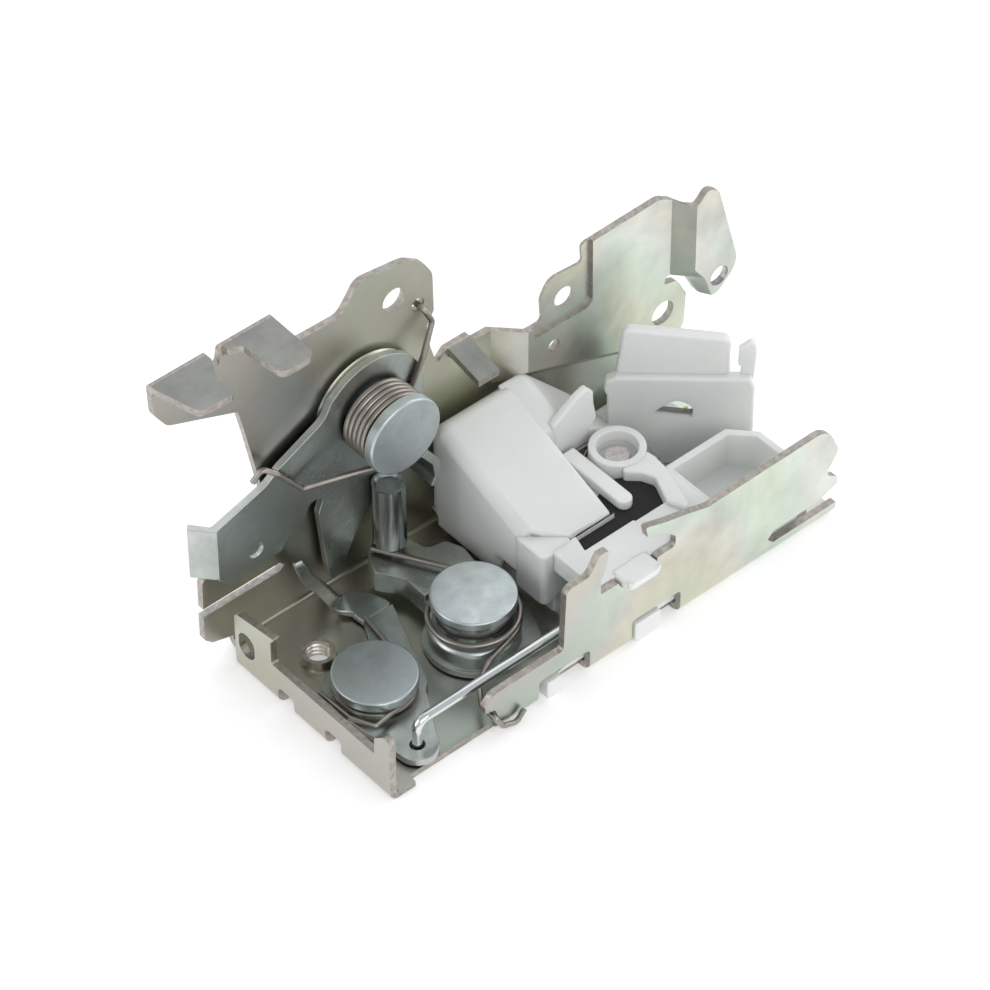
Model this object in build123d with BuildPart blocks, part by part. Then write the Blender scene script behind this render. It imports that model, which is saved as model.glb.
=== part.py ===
"""Door latch actuator: pressed bracket with three sprung levers, a wire rod and a nylon drive housing.

Frame: +X along the tray, +Y towards the tall back wall, +Z up. The origin is on the axis of the tapped
mounting hole, at the underside of the floor. All lengths are in millimetres.
"""
from build123d import *
from math import cos, hypot, radians, sin, tan
import os

os.makedirs("parts", exist_ok=True)

# Sheet bracket
sheet = 1.5
bend_inside = 1.0
tab_bend = 1.4
tray_left = 12.0
tray_right = 99.0
tray_front = 34.6
tray_back = 15.5
left_flange_height = 9.7
left_post_height = 16.0
front_step_height = 10.6
front_flange_height = 24.8
tab_height = 76.6
tab_reach = 12.5
joggle_depth = 5.0
ear_joggle_depth = 3.4
ear_step = 0.9
thread_bore_radius = 2.5
thread_boss_radius = 3.3
thread_length = 3.7
small_screw_radius = 2.25
large_screw_radius = 2.75

# Fits and gaps
running_gap = 0.05
seat_gap = 0.02
side_gap = 0.3

# Large-headed rivets
head_radius = 8.25
head_edge = 0.4
link_axis = (2.1, -13.9)
lockout_axis = (24.5, -15.7)
release_axis = (23.6, 42.6)
lock_axis = (66.4, -8.6)
link_shank_radius = 4.0
link_head_thickness = 1.9
lockout_shank_radius = 4.5
lockout_head_thickness = 1.7
release_shank_radius = 4.5
release_head_thickness = 2.0
shoulder_height = 0.4

# Levers
lever_sheet = 1.5
link_hub_radius = 9.4
link_eye = (-1.0, -29.5)
link_eye_radius = 1.45
link_eye_lobe = 4.1
link_spring_room = 2.5
web_height = 6.1
cup_radius = 8.9
lockout_spring_room = 5.7
transfer_pin_axis = (24.0, 7.7)
transfer_pin_radius = 3.25
transfer_pin_length = 17.2
release_plate_front = 11.2
release_hub_radius = 12.2
release_spring_room = 7.4

# Springs and rod
link_wire = 0.9
link_coil_radius = 7.6
lockout_wire = 1.1
lockout_coil_radius = 8.65
release_wire = 1.15
release_coil_radius = 7.35
lock_wire = 0.8
lock_coil_radius = 6.4
rod_radius = 1.0
rod_height = 9.3
rod_bend = 2.2
rod_travel = 4.14

# Nylon housing
base_floor = 1.7
nylon = 1.8
block_left = 37.0
tray_inner_left = 39.5
hump_front = -20.0
frame_top = 19.2
frame_plate = 2.6
shelf = 1.0
pad_thickness = 1.9
pocket_left = 70.3
pocket_right = 91.0
pocket_back = -16.0
pocket_floor = 10.1
pocket_top = 18.2
ring_outer = 5.55
ring_inner = 4.1
ring_top = 20.5
lock_pin_radius = 2.5
rod_arm_radius = 21.0
wheel_radius = 7.4
wheel_root = 6.2
wheel_teeth = 20
worm_radius = 2.3
thread_pitch = 2.2
mesh_distance = 8.7
thread_turns = 3.6
motor_radius = 7.5
motor_length = 14.0
motor_left = 39.4
block_turn = -41.6
block_width = 26.0
block_depth = 8.0
block_top = 26.5
plate_top = 37.6

# Places worked out from the sizes above
floor_top = sheet
wall_front = tray_back - sheet
flange_inside = -(tray_front - sheet)
bend_outside = bend_inside + sheet
plate_face = wall_front - joggle_depth
hump_right = motor_left + motor_length + side_gap + nylon
ear_face = plate_face - ear_joggle_depth
link_bottom = floor_top + shoulder_height
link_top = link_bottom + lever_sheet
link_head_bottom = link_top + link_spring_room
web_top = web_height + lever_sheet
lockout_head_bottom = web_top + lockout_spring_room
emboss = wall_front - release_plate_front - lever_sheet - running_gap * 2
emboss_face = wall_front - emboss
release_head_back = release_plate_front - release_spring_room
housing_front = flange_inside + 0.3
housing_back = wall_front - 1.5
base_top = floor_top + base_floor
worm_axis_y = lock_axis[1] + mesh_distance
motor_axis_z = base_top + motor_radius + 0.2
wheel_bottom = motor_axis_z - 1.0
wheel_top = wheel_bottom + 2.0
lock_bottom = wheel_top + 0.1
lock_top = lock_bottom + 2.0
rod_lever_bottom = 6.0
rod_lever_top = 8.0


def edges_near(part, axis, **place):
    """Edges along one axis whose centre has the given coordinates."""
    picked = part.edges().filter_by(axis)
    for name, value in place.items():
        picked = picked.filter_by(lambda e, n=name, v=value: abs(getattr(e.center(), n) - v) < 0.02)
    return picked


def corners(points):
    """The places of an outline's corners, without their own radii."""
    return [(point[0], point[1]) for point in points]


def corner_radii(points, radius):
    """A radius for each corner of a closed outline. A third number in a corner is its own radius,
    and no corner takes more than 0.45 of its shorter side."""
    places = [Vector(x, y) for x, y in corners(points)]
    radii = []
    for k, point in enumerate(points):
        before = places[k - 1] - places[k]
        after = places[(k + 1) % len(places)] - places[k]
        turn = 180 - before.get_angle(after)
        wanted = point[2] if len(point) > 2 else radius
        room = 0.45 * min(before.length, after.length) / tan(radians(max(turn, 1) / 2))
        radii.append(min(wanted, room) if turn > 4 else 0)
    return radii


# Main bracket: floor, back wall, left flange and front flange from one sheet
wall_outline = [
    (-9.0, bend_outside, 0), (-9.0, 3.0), (-13.8, 4.4), (-15.6, 6.2), (-15.4, 21.6), (-12.4, 22.2), (-7.0, 23.5, 3),
    (0.2, 30.0, 3), (-0.9, 37.5), (-3.4, 50.4), (-5.1, 58.5), (-20.8, tab_height - 11.5, 3),
    (-23.5, tab_height - 7.3, 3), (-23.7, tab_height, 0), (-11.4, tab_height, 0), (-10.8, tab_height - 4.2, 1),
    (-8.7, tab_height - 4.2, 1), (-8.0, tab_height, 0),
    (3.6, tab_height, 0), (4.6, 67.2, 1.5), (19.0, 66.8, 2.5), (21.2, 69.6, 2.5), (23.4, 72.7, 4), (34.4, 71.2, 5),
    (38.6, 68.2, 4), (40.6, 64.6, 4), (40.8, 55.2), (38.9, 52.0, 3), (39.8, 46.6, 3), (41.4, 41.0, 0.6), (43.7, 43.4, 0),
    (49.4, 43.4, 0), (50.6, 41.6), (63.6, 41.3, 1), (63.2, 47.0, 3.6), (65.4, 50.8, 3), (73.6, 50.2, 0.8),
    (73.2, 54.8, 1.2), (92.4, 55.4, 4), (98.6, 51.4, 3), (101.6, 54.8, 1.5), (104.4, 52.8, 2), (110.2, 31.4, 5),
    (104.6, 26.0, 5), (101.2, 27.6, 1.2), (98.6, 33.2, 1.8), (94.2, 34.6, 1), (94.0, 32.6, 0.6), (97.4, 31.8, 3),
    (99.8, 27.0, 3), (99.4, 19.6, 1), (98.4, 18.0, 0.6), (98.4, bend_outside, 0),
]
front_outline = [
    (14.2, 0, 0), (14.2, 3.9, 1), (13.4, 6.4), (11.0, 6.9, 0.3), (11.0, 8.4, 0.3), (13.0, front_step_height, 1.6),
    (30.0, front_step_height, 0.8), (30.6, front_flange_height + 1.1, 1.6), (36.2, front_flange_height + 1.0, 1.8),
    (38.6, 29.8, 0.4), (40.9, 29.6, 0.4), (40.4, 25.9, 2), (39.0, 22.6, 2), (39.0, 19.2, 0.5), (43.4, 19.2, 0.5),
    (44.1, 17.7, 0.5), (52.8, 17.7, 0.5), (53.1, 19.6, 0.5), (57.5, 19.6, 1), (57.5, 22.2, 1.2), (55.5, 24.2, 1.2),
    (50.5, 26.4, 0.4), (49.9, 29.4, 0.4), (54.9, 27.6, 3), (60.0, 26.2, 3), (65.7, front_flange_height - 0.4, 1.5),
    (94.6, front_flange_height, 4), (97.0, 22.8, 3), (99.4, 17.6, 2.2), (96.8, 13.6, 0.8), (96.8, 12.0, 0.8),
    (99.4, 10.4, 1.0), (99.4, 0.4, 0), (98.4, 0, 0),
]
left_outline = [
    (-tray_front - 0.3, 0.2, 0), (-tray_front - 0.3, left_post_height, 1), (-33.0, left_post_height, 1),
    (-30.6, 13.9, 1), (-30.6, left_flange_height, 0.6), (-1.2, left_flange_height, 0.6), (-1.2, 15.2, 0.6),
    (-2.6, 16.8, 1), (9.4, 14.8, 1.4), (9.4, 0, 0),
]
tab_left = [
    (-23.7, tray_back, 0), (-23.7, wall_front - 1, 0), (-21.3, wall_front - tab_reach + 1.9, 1.8),
    (-12.7, wall_front - tab_reach + 1.5, 1.6), (-14.2, 7.1, 2), (-11.4, wall_front - 1.5, 0), (-11.4, tray_back, 0),
]
tab_right = [
    (-8.0, tray_back, 0), (-7.7, wall_front - 1.3, 0), (-5.2, wall_front - 2.6, 0.8),
    (-4.3, wall_front - tab_reach, 1.6), (3.3, wall_front - tab_reach, 1.8), (3.6, tray_back, 0),
]
joggle_low = 31.2
joggle_slope = -0.388
joggle_left = 59.5
ramp_drop = joggle_depth * hypot(1, joggle_slope)
ramp_corner = joggle_low - joggle_slope * joggle_depth - ramp_drop
far = 130.0
joggle_base = [
    (joggle_left - joggle_depth, ramp_corner),
    (far, ramp_corner + joggle_slope * (far - joggle_left + joggle_depth)),
    (far, far), (joggle_left - joggle_depth, far),
]
ear_bend = 95.4
ear_base = [(ear_bend, 34.6), (98.4, 30.5), (100.6, 24.0), (100.6, -10.0), (far, -10.0), (far, far), (ear_bend, far)]
left_ear = [(61.0, 38.7), (74.4, 38.7, 1.2), (75.6, 39.8, 1.2), (75.4, 60.0), (61.0, 60.0)]
wall_plane = Plane.XZ.offset(-wall_front)
wall_back_plane = Plane.XZ.offset(-tray_back)
plate_plane = Plane.XZ.offset(-plate_face)

with BuildPart() as wall_sheet:
    with BuildSketch(wall_plane):
        with Locations((-30, 0)):
            Rectangle(170, 90, align=(Align.MIN, Align.MIN))
    extrude(amount=-sheet)
    with BuildSketch(wall_plane):
        Polygon(*joggle_base, align=None)
    extrude(amount=joggle_depth, taper=45)
    with BuildSketch(plate_plane):
        Polygon(*ear_base, align=None)
    extrude(amount=ear_joggle_depth, taper=45)
    with BuildSketch(plate_plane.offset(-sheet)):
        with BuildLine():
            FilletPolyline(*corners(left_ear), radius=corner_radii(left_ear, 0), close=True)
        make_face()
    extrude(amount=-ear_step)
    with BuildSketch(wall_plane):
        with Locations(release_axis):
            Circle(release_hub_radius - 0.6)
    extrude(amount=emboss, taper=45)
    with BuildSketch(wall_back_plane):
        Polygon(*joggle_base, align=None)
    extrude(amount=joggle_depth, taper=45, mode=Mode.SUBTRACT)
    with BuildSketch(plate_plane.offset(-sheet)):
        Polygon(*ear_base, align=None)
    extrude(amount=ear_joggle_depth, taper=45, mode=Mode.SUBTRACT)
    with BuildSketch(plate_plane):
        with BuildLine():
            FilletPolyline(*corners(left_ear), radius=corner_radii(left_ear, 0), close=True)
        make_face()
    extrude(amount=-ear_step, mode=Mode.SUBTRACT)
    with BuildSketch(wall_back_plane):
        with Locations(release_axis):
            Circle(release_hub_radius - 0.6)
    extrude(amount=emboss, taper=45, mode=Mode.SUBTRACT)
    with BuildSketch(Plane.XZ.offset(-tray_back - 1)):
        with BuildLine():
            FilletPolyline(*corners(wall_outline), radius=corner_radii(wall_outline, 1.2), close=True)
        make_face()
    extrude(amount=tray_back + 1, mode=Mode.INTERSECT)

with BuildPart() as left_side:
    with BuildSketch(Plane.XZ.offset(tray_front + 0.3)):
        Polygon((-tray_left, 0), (-6, 0), (-6, sheet), (-tray_left + sheet, sheet),
                (-tray_left + sheet, 20), (-tray_left, 20), align=None)
        fillet(vertices().filter_by(lambda v: v.X == -tray_left and v.Y == 0), bend_outside)
        fillet(vertices().filter_by(lambda v: v.X == -tray_left + sheet and v.Y == sheet), bend_inside)
    extrude(amount=-tray_front - 0.3 - 9.4)
    with BuildSketch(Plane.YZ.offset(-tray_left - 1)):
        with BuildLine():
            FilletPolyline(*corners(left_outline), radius=corner_radii(left_outline, 0.8), close=True)
        make_face()
    extrude(amount=10, mode=Mode.INTERSECT)

with BuildPart() as back_side:
    with BuildSketch(Plane.YZ.offset(-9.0)):
        Polygon((-2, 0), (tray_back, 0), (tray_back, bend_outside), (wall_front, bend_outside),
                (wall_front, sheet), (-2, sheet), align=None)
        fillet(vertices().filter_by(lambda v: v.X == tray_back and v.Y == 0), bend_outside - 0.01)
        fillet(vertices().filter_by(lambda v: v.X == wall_front and v.Y == sheet), bend_inside - 0.01)
    extrude(amount=98.4 + 9.0)

with BuildPart() as front_side:
    with BuildSketch(Plane.YZ.offset(10.9)):
        Polygon((-20, 0), (-tray_front, 0), (-tray_front, 40), (flange_inside, 40),
                (flange_inside, sheet), (-20, sheet), align=None)
        fillet(vertices().filter_by(lambda v: v.X == -tray_front and v.Y == 0), bend_outside)
        fillet(vertices().filter_by(lambda v: v.X == flange_inside and v.Y == sheet), bend_inside)
    extrude(amount=99.4 - 10.9)
    with BuildSketch(Plane.XZ.offset(tray_front + 1)):
        with BuildLine():
            FilletPolyline(*corners(front_outline), radius=corner_radii(front_outline, 0.8), close=True)
        make_face()
    extrude(amount=-20, mode=Mode.INTERSECT)

with BuildPart() as main_bracket:
    add(wall_sheet.part)
    with BuildSketch(Plane.XY):
        Polygon((-9.4, -tray_front + 1.6), (-9.4, tray_back - bend_outside), (98.4, tray_back - bend_outside),
                (98.4, -20), (14.2, -20), (14.2, -tray_front + 1.6), align=None)
    extrude(amount=sheet)
    add(back_side.part)
    add(front_side.part)
    add(left_side.part)
    # Corner relief slots, one between the left flange and the back wall
    with BuildSketch(Plane.XY):
        Polygon((-16, 9.4), (-9.2, 9.4), (-9.2, 13.0), (-16, 13.0), align=None)
    extrude(amount=24, mode=Mode.SUBTRACT)
    # Windows through the left bend
    with BuildSketch(Plane.YZ.offset(-tray_left - 1)):
        with Locations((-5.2, 1.9)):
            RectangleRounded(4.6, 5.8, 1.2)
        with Locations((-18.7, 1.9)):
            RectangleRounded(4.5, 5.8, 1.2)
    extrude(amount=4, mode=Mode.SUBTRACT)
    # Oval hole at the left flange's high part
    with BuildSketch(Plane.YZ.offset(-tray_left - 1)):
        with Locations((6.0, 8.5)):
            SlotCenterToCenter(1.4, 4.6, rotation=90)
    extrude(amount=3, mode=Mode.SUBTRACT)
    # Windows through the front bend for the housing's clips
    with BuildSketch(Plane.XZ.offset(tray_front + 1)):
        with Locations((30.3, 2.6)):
            RectangleRounded(12.6, 7.2, 1.0)
        with Locations((53.2, 2.8)):
            RectangleRounded(12.1, 7.4, 1.0)
    extrude(amount=-4.2, mode=Mode.SUBTRACT)
    # Slot open to the right end of the front flange
    with BuildSketch(Plane.XZ.offset(tray_front + 1)):
        Polygon((101, 3.4), (83.0, 3.4), (81.6, 4.9), (83.0, 6.5), (94.3, 6.7), (99.2, 8.4), (101, 8.4),
                align=None)
    extrude(amount=-4.2, mode=Mode.SUBTRACT)
    # Slot between the two fingers at the left end of the back wall
    with BuildSketch(Plane.XZ.offset(-tray_back - 1)):
        Polygon((-18, 12.3), (2.4, 12.3), (3.9, 13.3), (2.6, 14.5), (-18, 14.4), align=None)
    extrude(amount=4, mode=Mode.SUBTRACT)
    # Holes in the back wall, the plate and the ear
    with BuildSketch(Plane.XZ.offset(-tray_back - 1)):
        with Locations((31.4, 63.4)):
            Circle(small_screw_radius + 0.4)
        with Locations((37.0, 58.9)):
            Circle(1.5)
        with Locations((69.0, 44.2), (105.2, 30.6)):
            Circle(small_screw_radius)
        with Locations((93.8, 25.4)):
            Circle(large_screw_radius)
        with Locations((65.9, 34.2)):
            Circle(1.4)
        with Locations(release_axis):
            Circle(release_shank_radius + seat_gap)
    extrude(amount=13, mode=Mode.SUBTRACT)
    # Top tabs bent towards the front
    with BuildSketch(Plane.XY.offset(tab_height)):
        for tab in (tab_left, tab_right):
            with BuildLine():
                FilletPolyline(*corners(tab), radius=corner_radii(tab, 1), close=True)
            make_face()
    extrude(amount=-sheet)
    fillet(edges_near(main_bracket.part, Axis.X, Y=wall_front, Z=tab_height - sheet), bend_inside)
    fillet(edges_near(main_bracket.part, Axis.X, Y=tray_back, Z=tab_height), tab_bend)
    # Short tab at the top edge right of the release rivet
    with BuildSketch(Plane.YZ.offset(44.0)):
        Polygon((tray_back, 43.4), (wall_front - 1, 43.4), (5.2, 41.4), (5.2, 39.9), (wall_front - 1, 41.7),
                (tray_back, 41.0), align=None)
    extrude(amount=5.0)
    # Flared collar round the tapped hole
    with BuildSketch(Plane.XY):
        Circle(thread_boss_radius + 1.2)
    extrude(amount=sheet + 0.9, taper=28)
    with BuildSketch(Plane.XY):
        Circle(thread_boss_radius)
    extrude(amount=thread_length)
    with BuildSketch(Plane.XY.offset(-1)):
        Circle(thread_bore_radius)
        with Locations(link_axis):
            Circle(link_shank_radius + seat_gap)
        with Locations(lockout_axis):
            Circle(lockout_shank_radius + seat_gap)
        with Locations(lock_axis):
            Circle(lock_pin_radius + seat_gap)
    extrude(amount=10, mode=Mode.SUBTRACT)


# Link lever's rivet: flush foot in the floor, shoulder under the lever and a broad flat head
with BuildPart() as link_pivot_rivet:
    with BuildSketch(Plane.XY):
        with Locations(link_axis):
            Circle(link_shank_radius)
    extrude(amount=link_head_bottom)
    with BuildSketch(Plane.XY.offset(floor_top)):
        with Locations(link_axis):
            Circle(link_shank_radius + 1.6)
    extrude(amount=shoulder_height - running_gap)
    with BuildSketch(Plane.XY.offset(link_top + running_gap)):
        with Locations(link_axis):
            Circle(link_coil_radius - link_wire / 2 - 0.5)
    extrude(amount=link_spring_room - running_gap)
    with BuildSketch(Plane.XY.offset(link_head_bottom)):
        with Locations(link_axis):
            Circle(head_radius)
    extrude(amount=link_head_thickness)
    fillet(link_pivot_rivet.edges().filter_by(GeomType.CIRCLE).group_by(Axis.Z)[-1], head_edge)

# Link lever: hub, rod eye lobe, arm and a narrow finger bent up towards the wall
link_arm = [
    (5.0, -22.6), (10.6, -19.0), (13.6, -11.2), (19.5, 3.2), (17.3, 6.4), (13.4, 8.6), (10.0, 5.4),
    (8.0, 4.4), (9.0, 2.4), (11.8, 1.6), (9.4, -3.7), (1.0, -5.0),
]
link_lobe = [(-6.6, -18.0), (-5.0, -30.2), (3.0, -30.4), (8.6, -21.0), (2.0, -12.0)]
with BuildPart() as link_lever:
    with BuildSketch(Plane.XY.offset(link_bottom)):
        Polygon(*link_lobe, align=None)
        with BuildLine():
            FilletPolyline(*corners(link_arm), radius=corner_radii(link_arm, 2.2), close=True)
        make_face()
        with Locations(link_axis):
            Circle(link_hub_radius)
        with Locations(link_eye):
            Circle(link_eye_lobe)
    extrude(amount=lever_sheet)
    with BuildSketch(Plane(origin=(9.6, 3.6, link_bottom), x_dir=(0.9, 0.43, 0), z_dir=(-0.45, 0.34, 0.8))):
        Rectangle(2.6, lever_sheet)
    extrude(amount=17.8)
    with BuildSketch(Plane.XY.offset(link_bottom)):
        with Locations(link_axis):
            Circle(link_shank_radius + running_gap)
        with Locations(link_eye):
            Circle(link_eye_radius)
    extrude(amount=lever_sheet, mode=Mode.SUBTRACT)
    with BuildSketch(Plane.XY):
        Rectangle(80, 80)
    extrude(amount=link_bottom, mode=Mode.SUBTRACT)

# Lockout lever's rivet
with BuildPart() as lockout_pivot_rivet:
    with BuildSketch(Plane.XY):
        with Locations(lockout_axis):
            Circle(lockout_shank_radius)
    extrude(amount=lockout_head_bottom)
    with BuildSketch(Plane.XY.offset(floor_top)):
        with Locations(lockout_axis):
            Circle(lockout_shank_radius + 1.6)
    extrude(amount=shoulder_height - running_gap)
    with BuildSketch(Plane.XY.offset(lockout_head_bottom)):
        with Locations(lockout_axis):
            Circle(head_radius)
    extrude(amount=lockout_head_thickness)
    fillet(lockout_pivot_rivet.edges().filter_by(GeomType.CIRCLE).group_by(Axis.Z)[-1], head_edge)

# Lockout lever: base ring, pressed cup, raised arm with a side wall, an end wall and a wing
cup_bottom = floor_top + shoulder_height
lockout_base = [
    (24.5, -7.0), (31.0, -9.0), (38.0, -12.4), (37.2, -17.0), (34.2, -24.0), (31.5, -25.2), (27.4, -24.4),
    (20.0, -22.0),
]
arm_plan = [
    (20.7, -8.0), (20.9, -0.6), (17.6, 4.6), (20.0, 9.4), (22.2, 10.6), (27.6, 10.6), (29.0, 3.0),
    (33.0, 2.2), (34.4, -1.5), (33.6, -5.6), (29.5, -8.4),
]
side_plan = [
    (20.7, -6.2), (20.9, -0.6), (17.6, 4.6), (20.0, 9.4), (20.0 + lever_sheet, 8.8),
    (17.6 + lever_sheet, 4.9), (20.9 + lever_sheet, -0.3), (20.7 + lever_sheet, -6.2),
]
arm_rise = 1.5
arm_bottom = web_height + arm_rise
arm_top = arm_bottom + lever_sheet
with BuildPart() as lockout_arm:
    with BuildSketch(Plane.YZ.offset(10)):
        Polygon((-9, web_height), (-6.2, web_height), (-5.0, arm_bottom), (11, arm_bottom), (11, arm_top),
                (-5.6, arm_top), (-6.4, web_top), (-9, web_top), align=None)
    extrude(amount=30)
    with BuildSketch(Plane.XY):
        with BuildLine():
            FilletPolyline(*corners(arm_plan), radius=corner_radii(arm_plan, 1.6), close=True)
        make_face()
    extrude(amount=20, mode=Mode.INTERSECT)
with BuildPart() as lockout_lever:
    with BuildSketch(Plane.XY.offset(cup_bottom)):
        with Locations(lockout_axis):
            Circle(9.6)
        with BuildLine():
            FilletPolyline(*corners(lockout_base), radius=corner_radii(lockout_base, 2.5), close=True)
        make_face()
    extrude(amount=lever_sheet)
    with BuildSketch(Plane.XY.offset(cup_bottom)):
        with Locations(lockout_axis):
            Circle(cup_radius)
    extrude(amount=web_top - cup_bottom)
    fillet(lockout_lever.edges().filter_by(GeomType.CIRCLE).group_by(Axis.Z)[-1], 1.4)
    add(lockout_arm.part)
    with BuildSketch(Plane.XY.offset(4.1)):
        Polygon(*side_plan, align=None)
    extrude(amount=arm_top - 4.1)
    with BuildSketch(Plane.XY.offset(arm_bottom)):
        Polygon((20.6, 9.3), (22.2, 10.6), (27.6, 10.6), (27.3, 11.0 - lever_sheet), (22.6, 9.4), align=None)
    extrude(amount=arm_top - arm_bottom + 1.9)
    with BuildSketch(Plane.XY.offset(cup_bottom)):
        with Locations(lockout_axis):
            Circle(cup_radius - lever_sheet)
    extrude(amount=web_height - cup_bottom, mode=Mode.SUBTRACT)
    with BuildSketch(Plane.XY):
        with Locations(lockout_axis):
            Circle(lockout_shank_radius + running_gap)
        with Locations(transfer_pin_axis):
            Circle(1.9 + seat_gap)
    extrude(amount=20, mode=Mode.SUBTRACT)

# Sleeve on the lockout rivet, inside the spring
with BuildPart() as lockout_bush:
    with BuildSketch(Plane.XY.offset(web_top + running_gap)):
        with Locations(lockout_axis):
            Circle(lockout_coil_radius - lockout_wire / 2 - 0.6)
            Circle(lockout_shank_radius + seat_gap, mode=Mode.SUBTRACT)
    extrude(amount=lockout_spring_room - running_gap)

# Upright pin staked in the lockout lever's arm, with a narrow neck and a dished top
pin_base = arm_top + running_gap
neck = 2.0
with BuildPart() as transfer_pin:
    with BuildSketch(Plane.XY.offset(arm_bottom - 0.6)):
        with Locations(transfer_pin_axis):
            Circle(1.9)
    extrude(amount=pin_base + neck - arm_bottom + 0.6)
    with BuildSketch(Plane.XY.offset(pin_base + neck)):
        with Locations(transfer_pin_axis):
            Circle(transfer_pin_radius)
    extrude(amount=transfer_pin_length - neck)
    with BuildSketch(Plane.XY.offset(pin_base + transfer_pin_length)):
        with Locations(transfer_pin_axis):
            Circle(transfer_pin_radius - 0.45)
    extrude(amount=-0.8, taper=30, mode=Mode.SUBTRACT)

# Release lever's rivet, across the tray through the back wall
release_plane = Plane(origin=(release_axis[0], 0, release_axis[1]), x_dir=(0, 0, -1), z_dir=(0, 1, 0))
with BuildPart() as release_pivot_rivet:
    with BuildSketch(release_plane.offset(release_head_back)):
        Circle(release_shank_radius)
    extrude(amount=emboss_face + sheet - release_head_back + 0.2)
    with BuildSketch(release_plane.offset(emboss_face + sheet + seat_gap)):
        Circle(release_shank_radius + 1.8)
    extrude(amount=1.0)
    with BuildSketch(release_plane.offset(release_head_back)):
        Circle(head_radius)
    extrude(amount=-release_head_thickness)
    fillet(release_pivot_rivet.edges().filter_by(GeomType.CIRCLE).group_by(Axis.Y)[0], head_edge)

# Release lever: hub, pull arm with its tab bent back, pointed leg and push tab
release_outline = [
    (-13.5, 35.6, 0), (-1.6, 39.6, 6), (1.4, 42.0, 6), (12.2, 47.2, 5), (14.2, 51.0, 3), (23.6, 54.4), (34.0, 38.0),
    (32.6, 29.0), (33.2, 25.0), (31.6, 23.2), (22.5, 18.7), (20.0, 15.9, 3), (14.4, 5.8, 0.8), (12.6, 5.2, 0.6),
    (11.6, 10.0, 3), (10.1, 24.5, 0.8), (11.5, 28.4, 1.6), (8.3, 28.6, 1.6), (5.3, 23.4, 2), (2.4, 22.6), (1.1, 20.9),
    (-10.7, 19.8, 1.8), (-13.5, 22.8, 0),
]
with BuildPart() as release_lever:
    with BuildSketch(Plane.XZ.offset(-release_plate_front)):
        with BuildLine():
            FilletPolyline(*corners(release_outline), radius=corner_radii(release_outline, 1.4), close=True)
        make_face()
        with Locations(release_axis):
            Circle(release_hub_radius)
    extrude(amount=-lever_sheet)
    with BuildSketch(Plane.XY.offset(23.2)):
        Polygon((-13.4, release_plate_front), (-14.2, release_plate_front + 0.4), (-17.2, 15.2), (-16.2, 16.2),
                (-13.4, release_plate_front + lever_sheet), align=None)
    extrude(amount=12.4)
    with BuildSketch(Plane.XZ.offset(-release_plate_front - 0.2)):
        Polygon((28.8, 32.6), (31.4, 29.0), (31.9, 25.4), (31.0, 23.8), (32.0, 23.0), (33.5, 25.1), (33.0, 29.5),
                (30.2, 33.4), align=None)
    extrude(amount=release_plate_front - 3.5)
    with BuildSketch(Plane.XZ.offset(-release_plate_front + 1)):
        with Locations(release_axis):
            Circle(release_shank_radius + running_gap)
    extrude(amount=-lever_sheet - 2, mode=Mode.SUBTRACT)
    with BuildSketch(Plane.XZ.offset(-release_plate_front)):
        with Locations((-4.8, 25.0)):
            Circle(1.7)
    extrude(amount=-0.5, taper=30, mode=Mode.SUBTRACT)

# Sleeve on the release rivet, inside the spring
with BuildPart() as release_bush:
    with BuildSketch(release_plane.offset(release_head_back + seat_gap)):
        Circle(release_coil_radius - release_wire / 2 - 0.5)
        Circle(release_shank_radius + seat_gap, mode=Mode.SUBTRACT)
    extrude(amount=release_spring_room - seat_gap - running_gap)


def spring(frame, radius, thick, pitch, turns, lefthand, first_leg, last_leg, bend):
    """Torsion spring: a coil on a frame, and one leg from each of its ends through given points."""
    with BuildPart() as made:
        with BuildLine() as turn:
            Helix(pitch, pitch * turns, radius, lefthand=lefthand)
        start, end = turn.line @ 0, turn.line @ 1
        start_way, end_way = turn.line % 0, turn.line % 1
        with BuildSketch(Plane(origin=start, z_dir=start_way)):
            Circle(thick / 2)
        sweep(path=turn.line)
        with BuildLine() as leg:
            FilletPolyline(start, start - start_way * 1.2, *[frame.to_local_coords(Vector(p)) for p in first_leg],
                           radius=bend)
        with BuildSketch(Plane(origin=start, z_dir=-start_way)):
            Circle(thick / 2)
        sweep(path=leg.line)
        with BuildLine() as tail:
            FilletPolyline(end, end + end_way * 1.2, *[frame.to_local_coords(Vector(p)) for p in last_leg],
                           radius=bend)
        with BuildSketch(Plane(origin=end, z_dir=end_way)):
            Circle(thick / 2)
        sweep(path=tail.line)
    return frame.location * made.part


def level_frame(centre, height, angle):
    """Frame with an upright axis whose x axis points at an angle in plan."""
    return Plane(origin=(*centre, height), x_dir=(cos(radians(angle)), sin(radians(angle)), 0), z_dir=(0, 0, 1))


# Link lever's spring
link_spring_bottom = link_top + link_wire / 2 + 0.1
link_spring = Part() + spring(
    level_frame(link_axis, link_spring_bottom, -8.2), link_coil_radius, link_wire, link_wire + 0.1, 1.2,
    True, [(11.9, 0.8, link_spring_bottom + 0.1)],
    [(-5.2, -22.6, 5.4), (-7.4, -18.0, 5.6), (-7.6, -9.7, 5.6)], 1.0)

# Lockout lever's spring, hooked round the front flange's end
lockout_spring_bottom = web_top + lockout_wire / 2 + 0.2
lockout_spring = Part() + spring(
    level_frame(lockout_axis, lockout_spring_bottom, -75), lockout_coil_radius, lockout_wire, 1.55, 1.29,
    False, [(19.4, -26.0, 8.3), (15.6, -27.4, 5.6), (12.9, -31.5, 5.2), (12.7, -35.8, 5.2), (14.4, -35.6, 2.2),
            (17.8, -35.5, 0.8), (19.6, -35.5, 2.9)],
    [(20.3, 8.8, 10.4)], 1.1)

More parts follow.
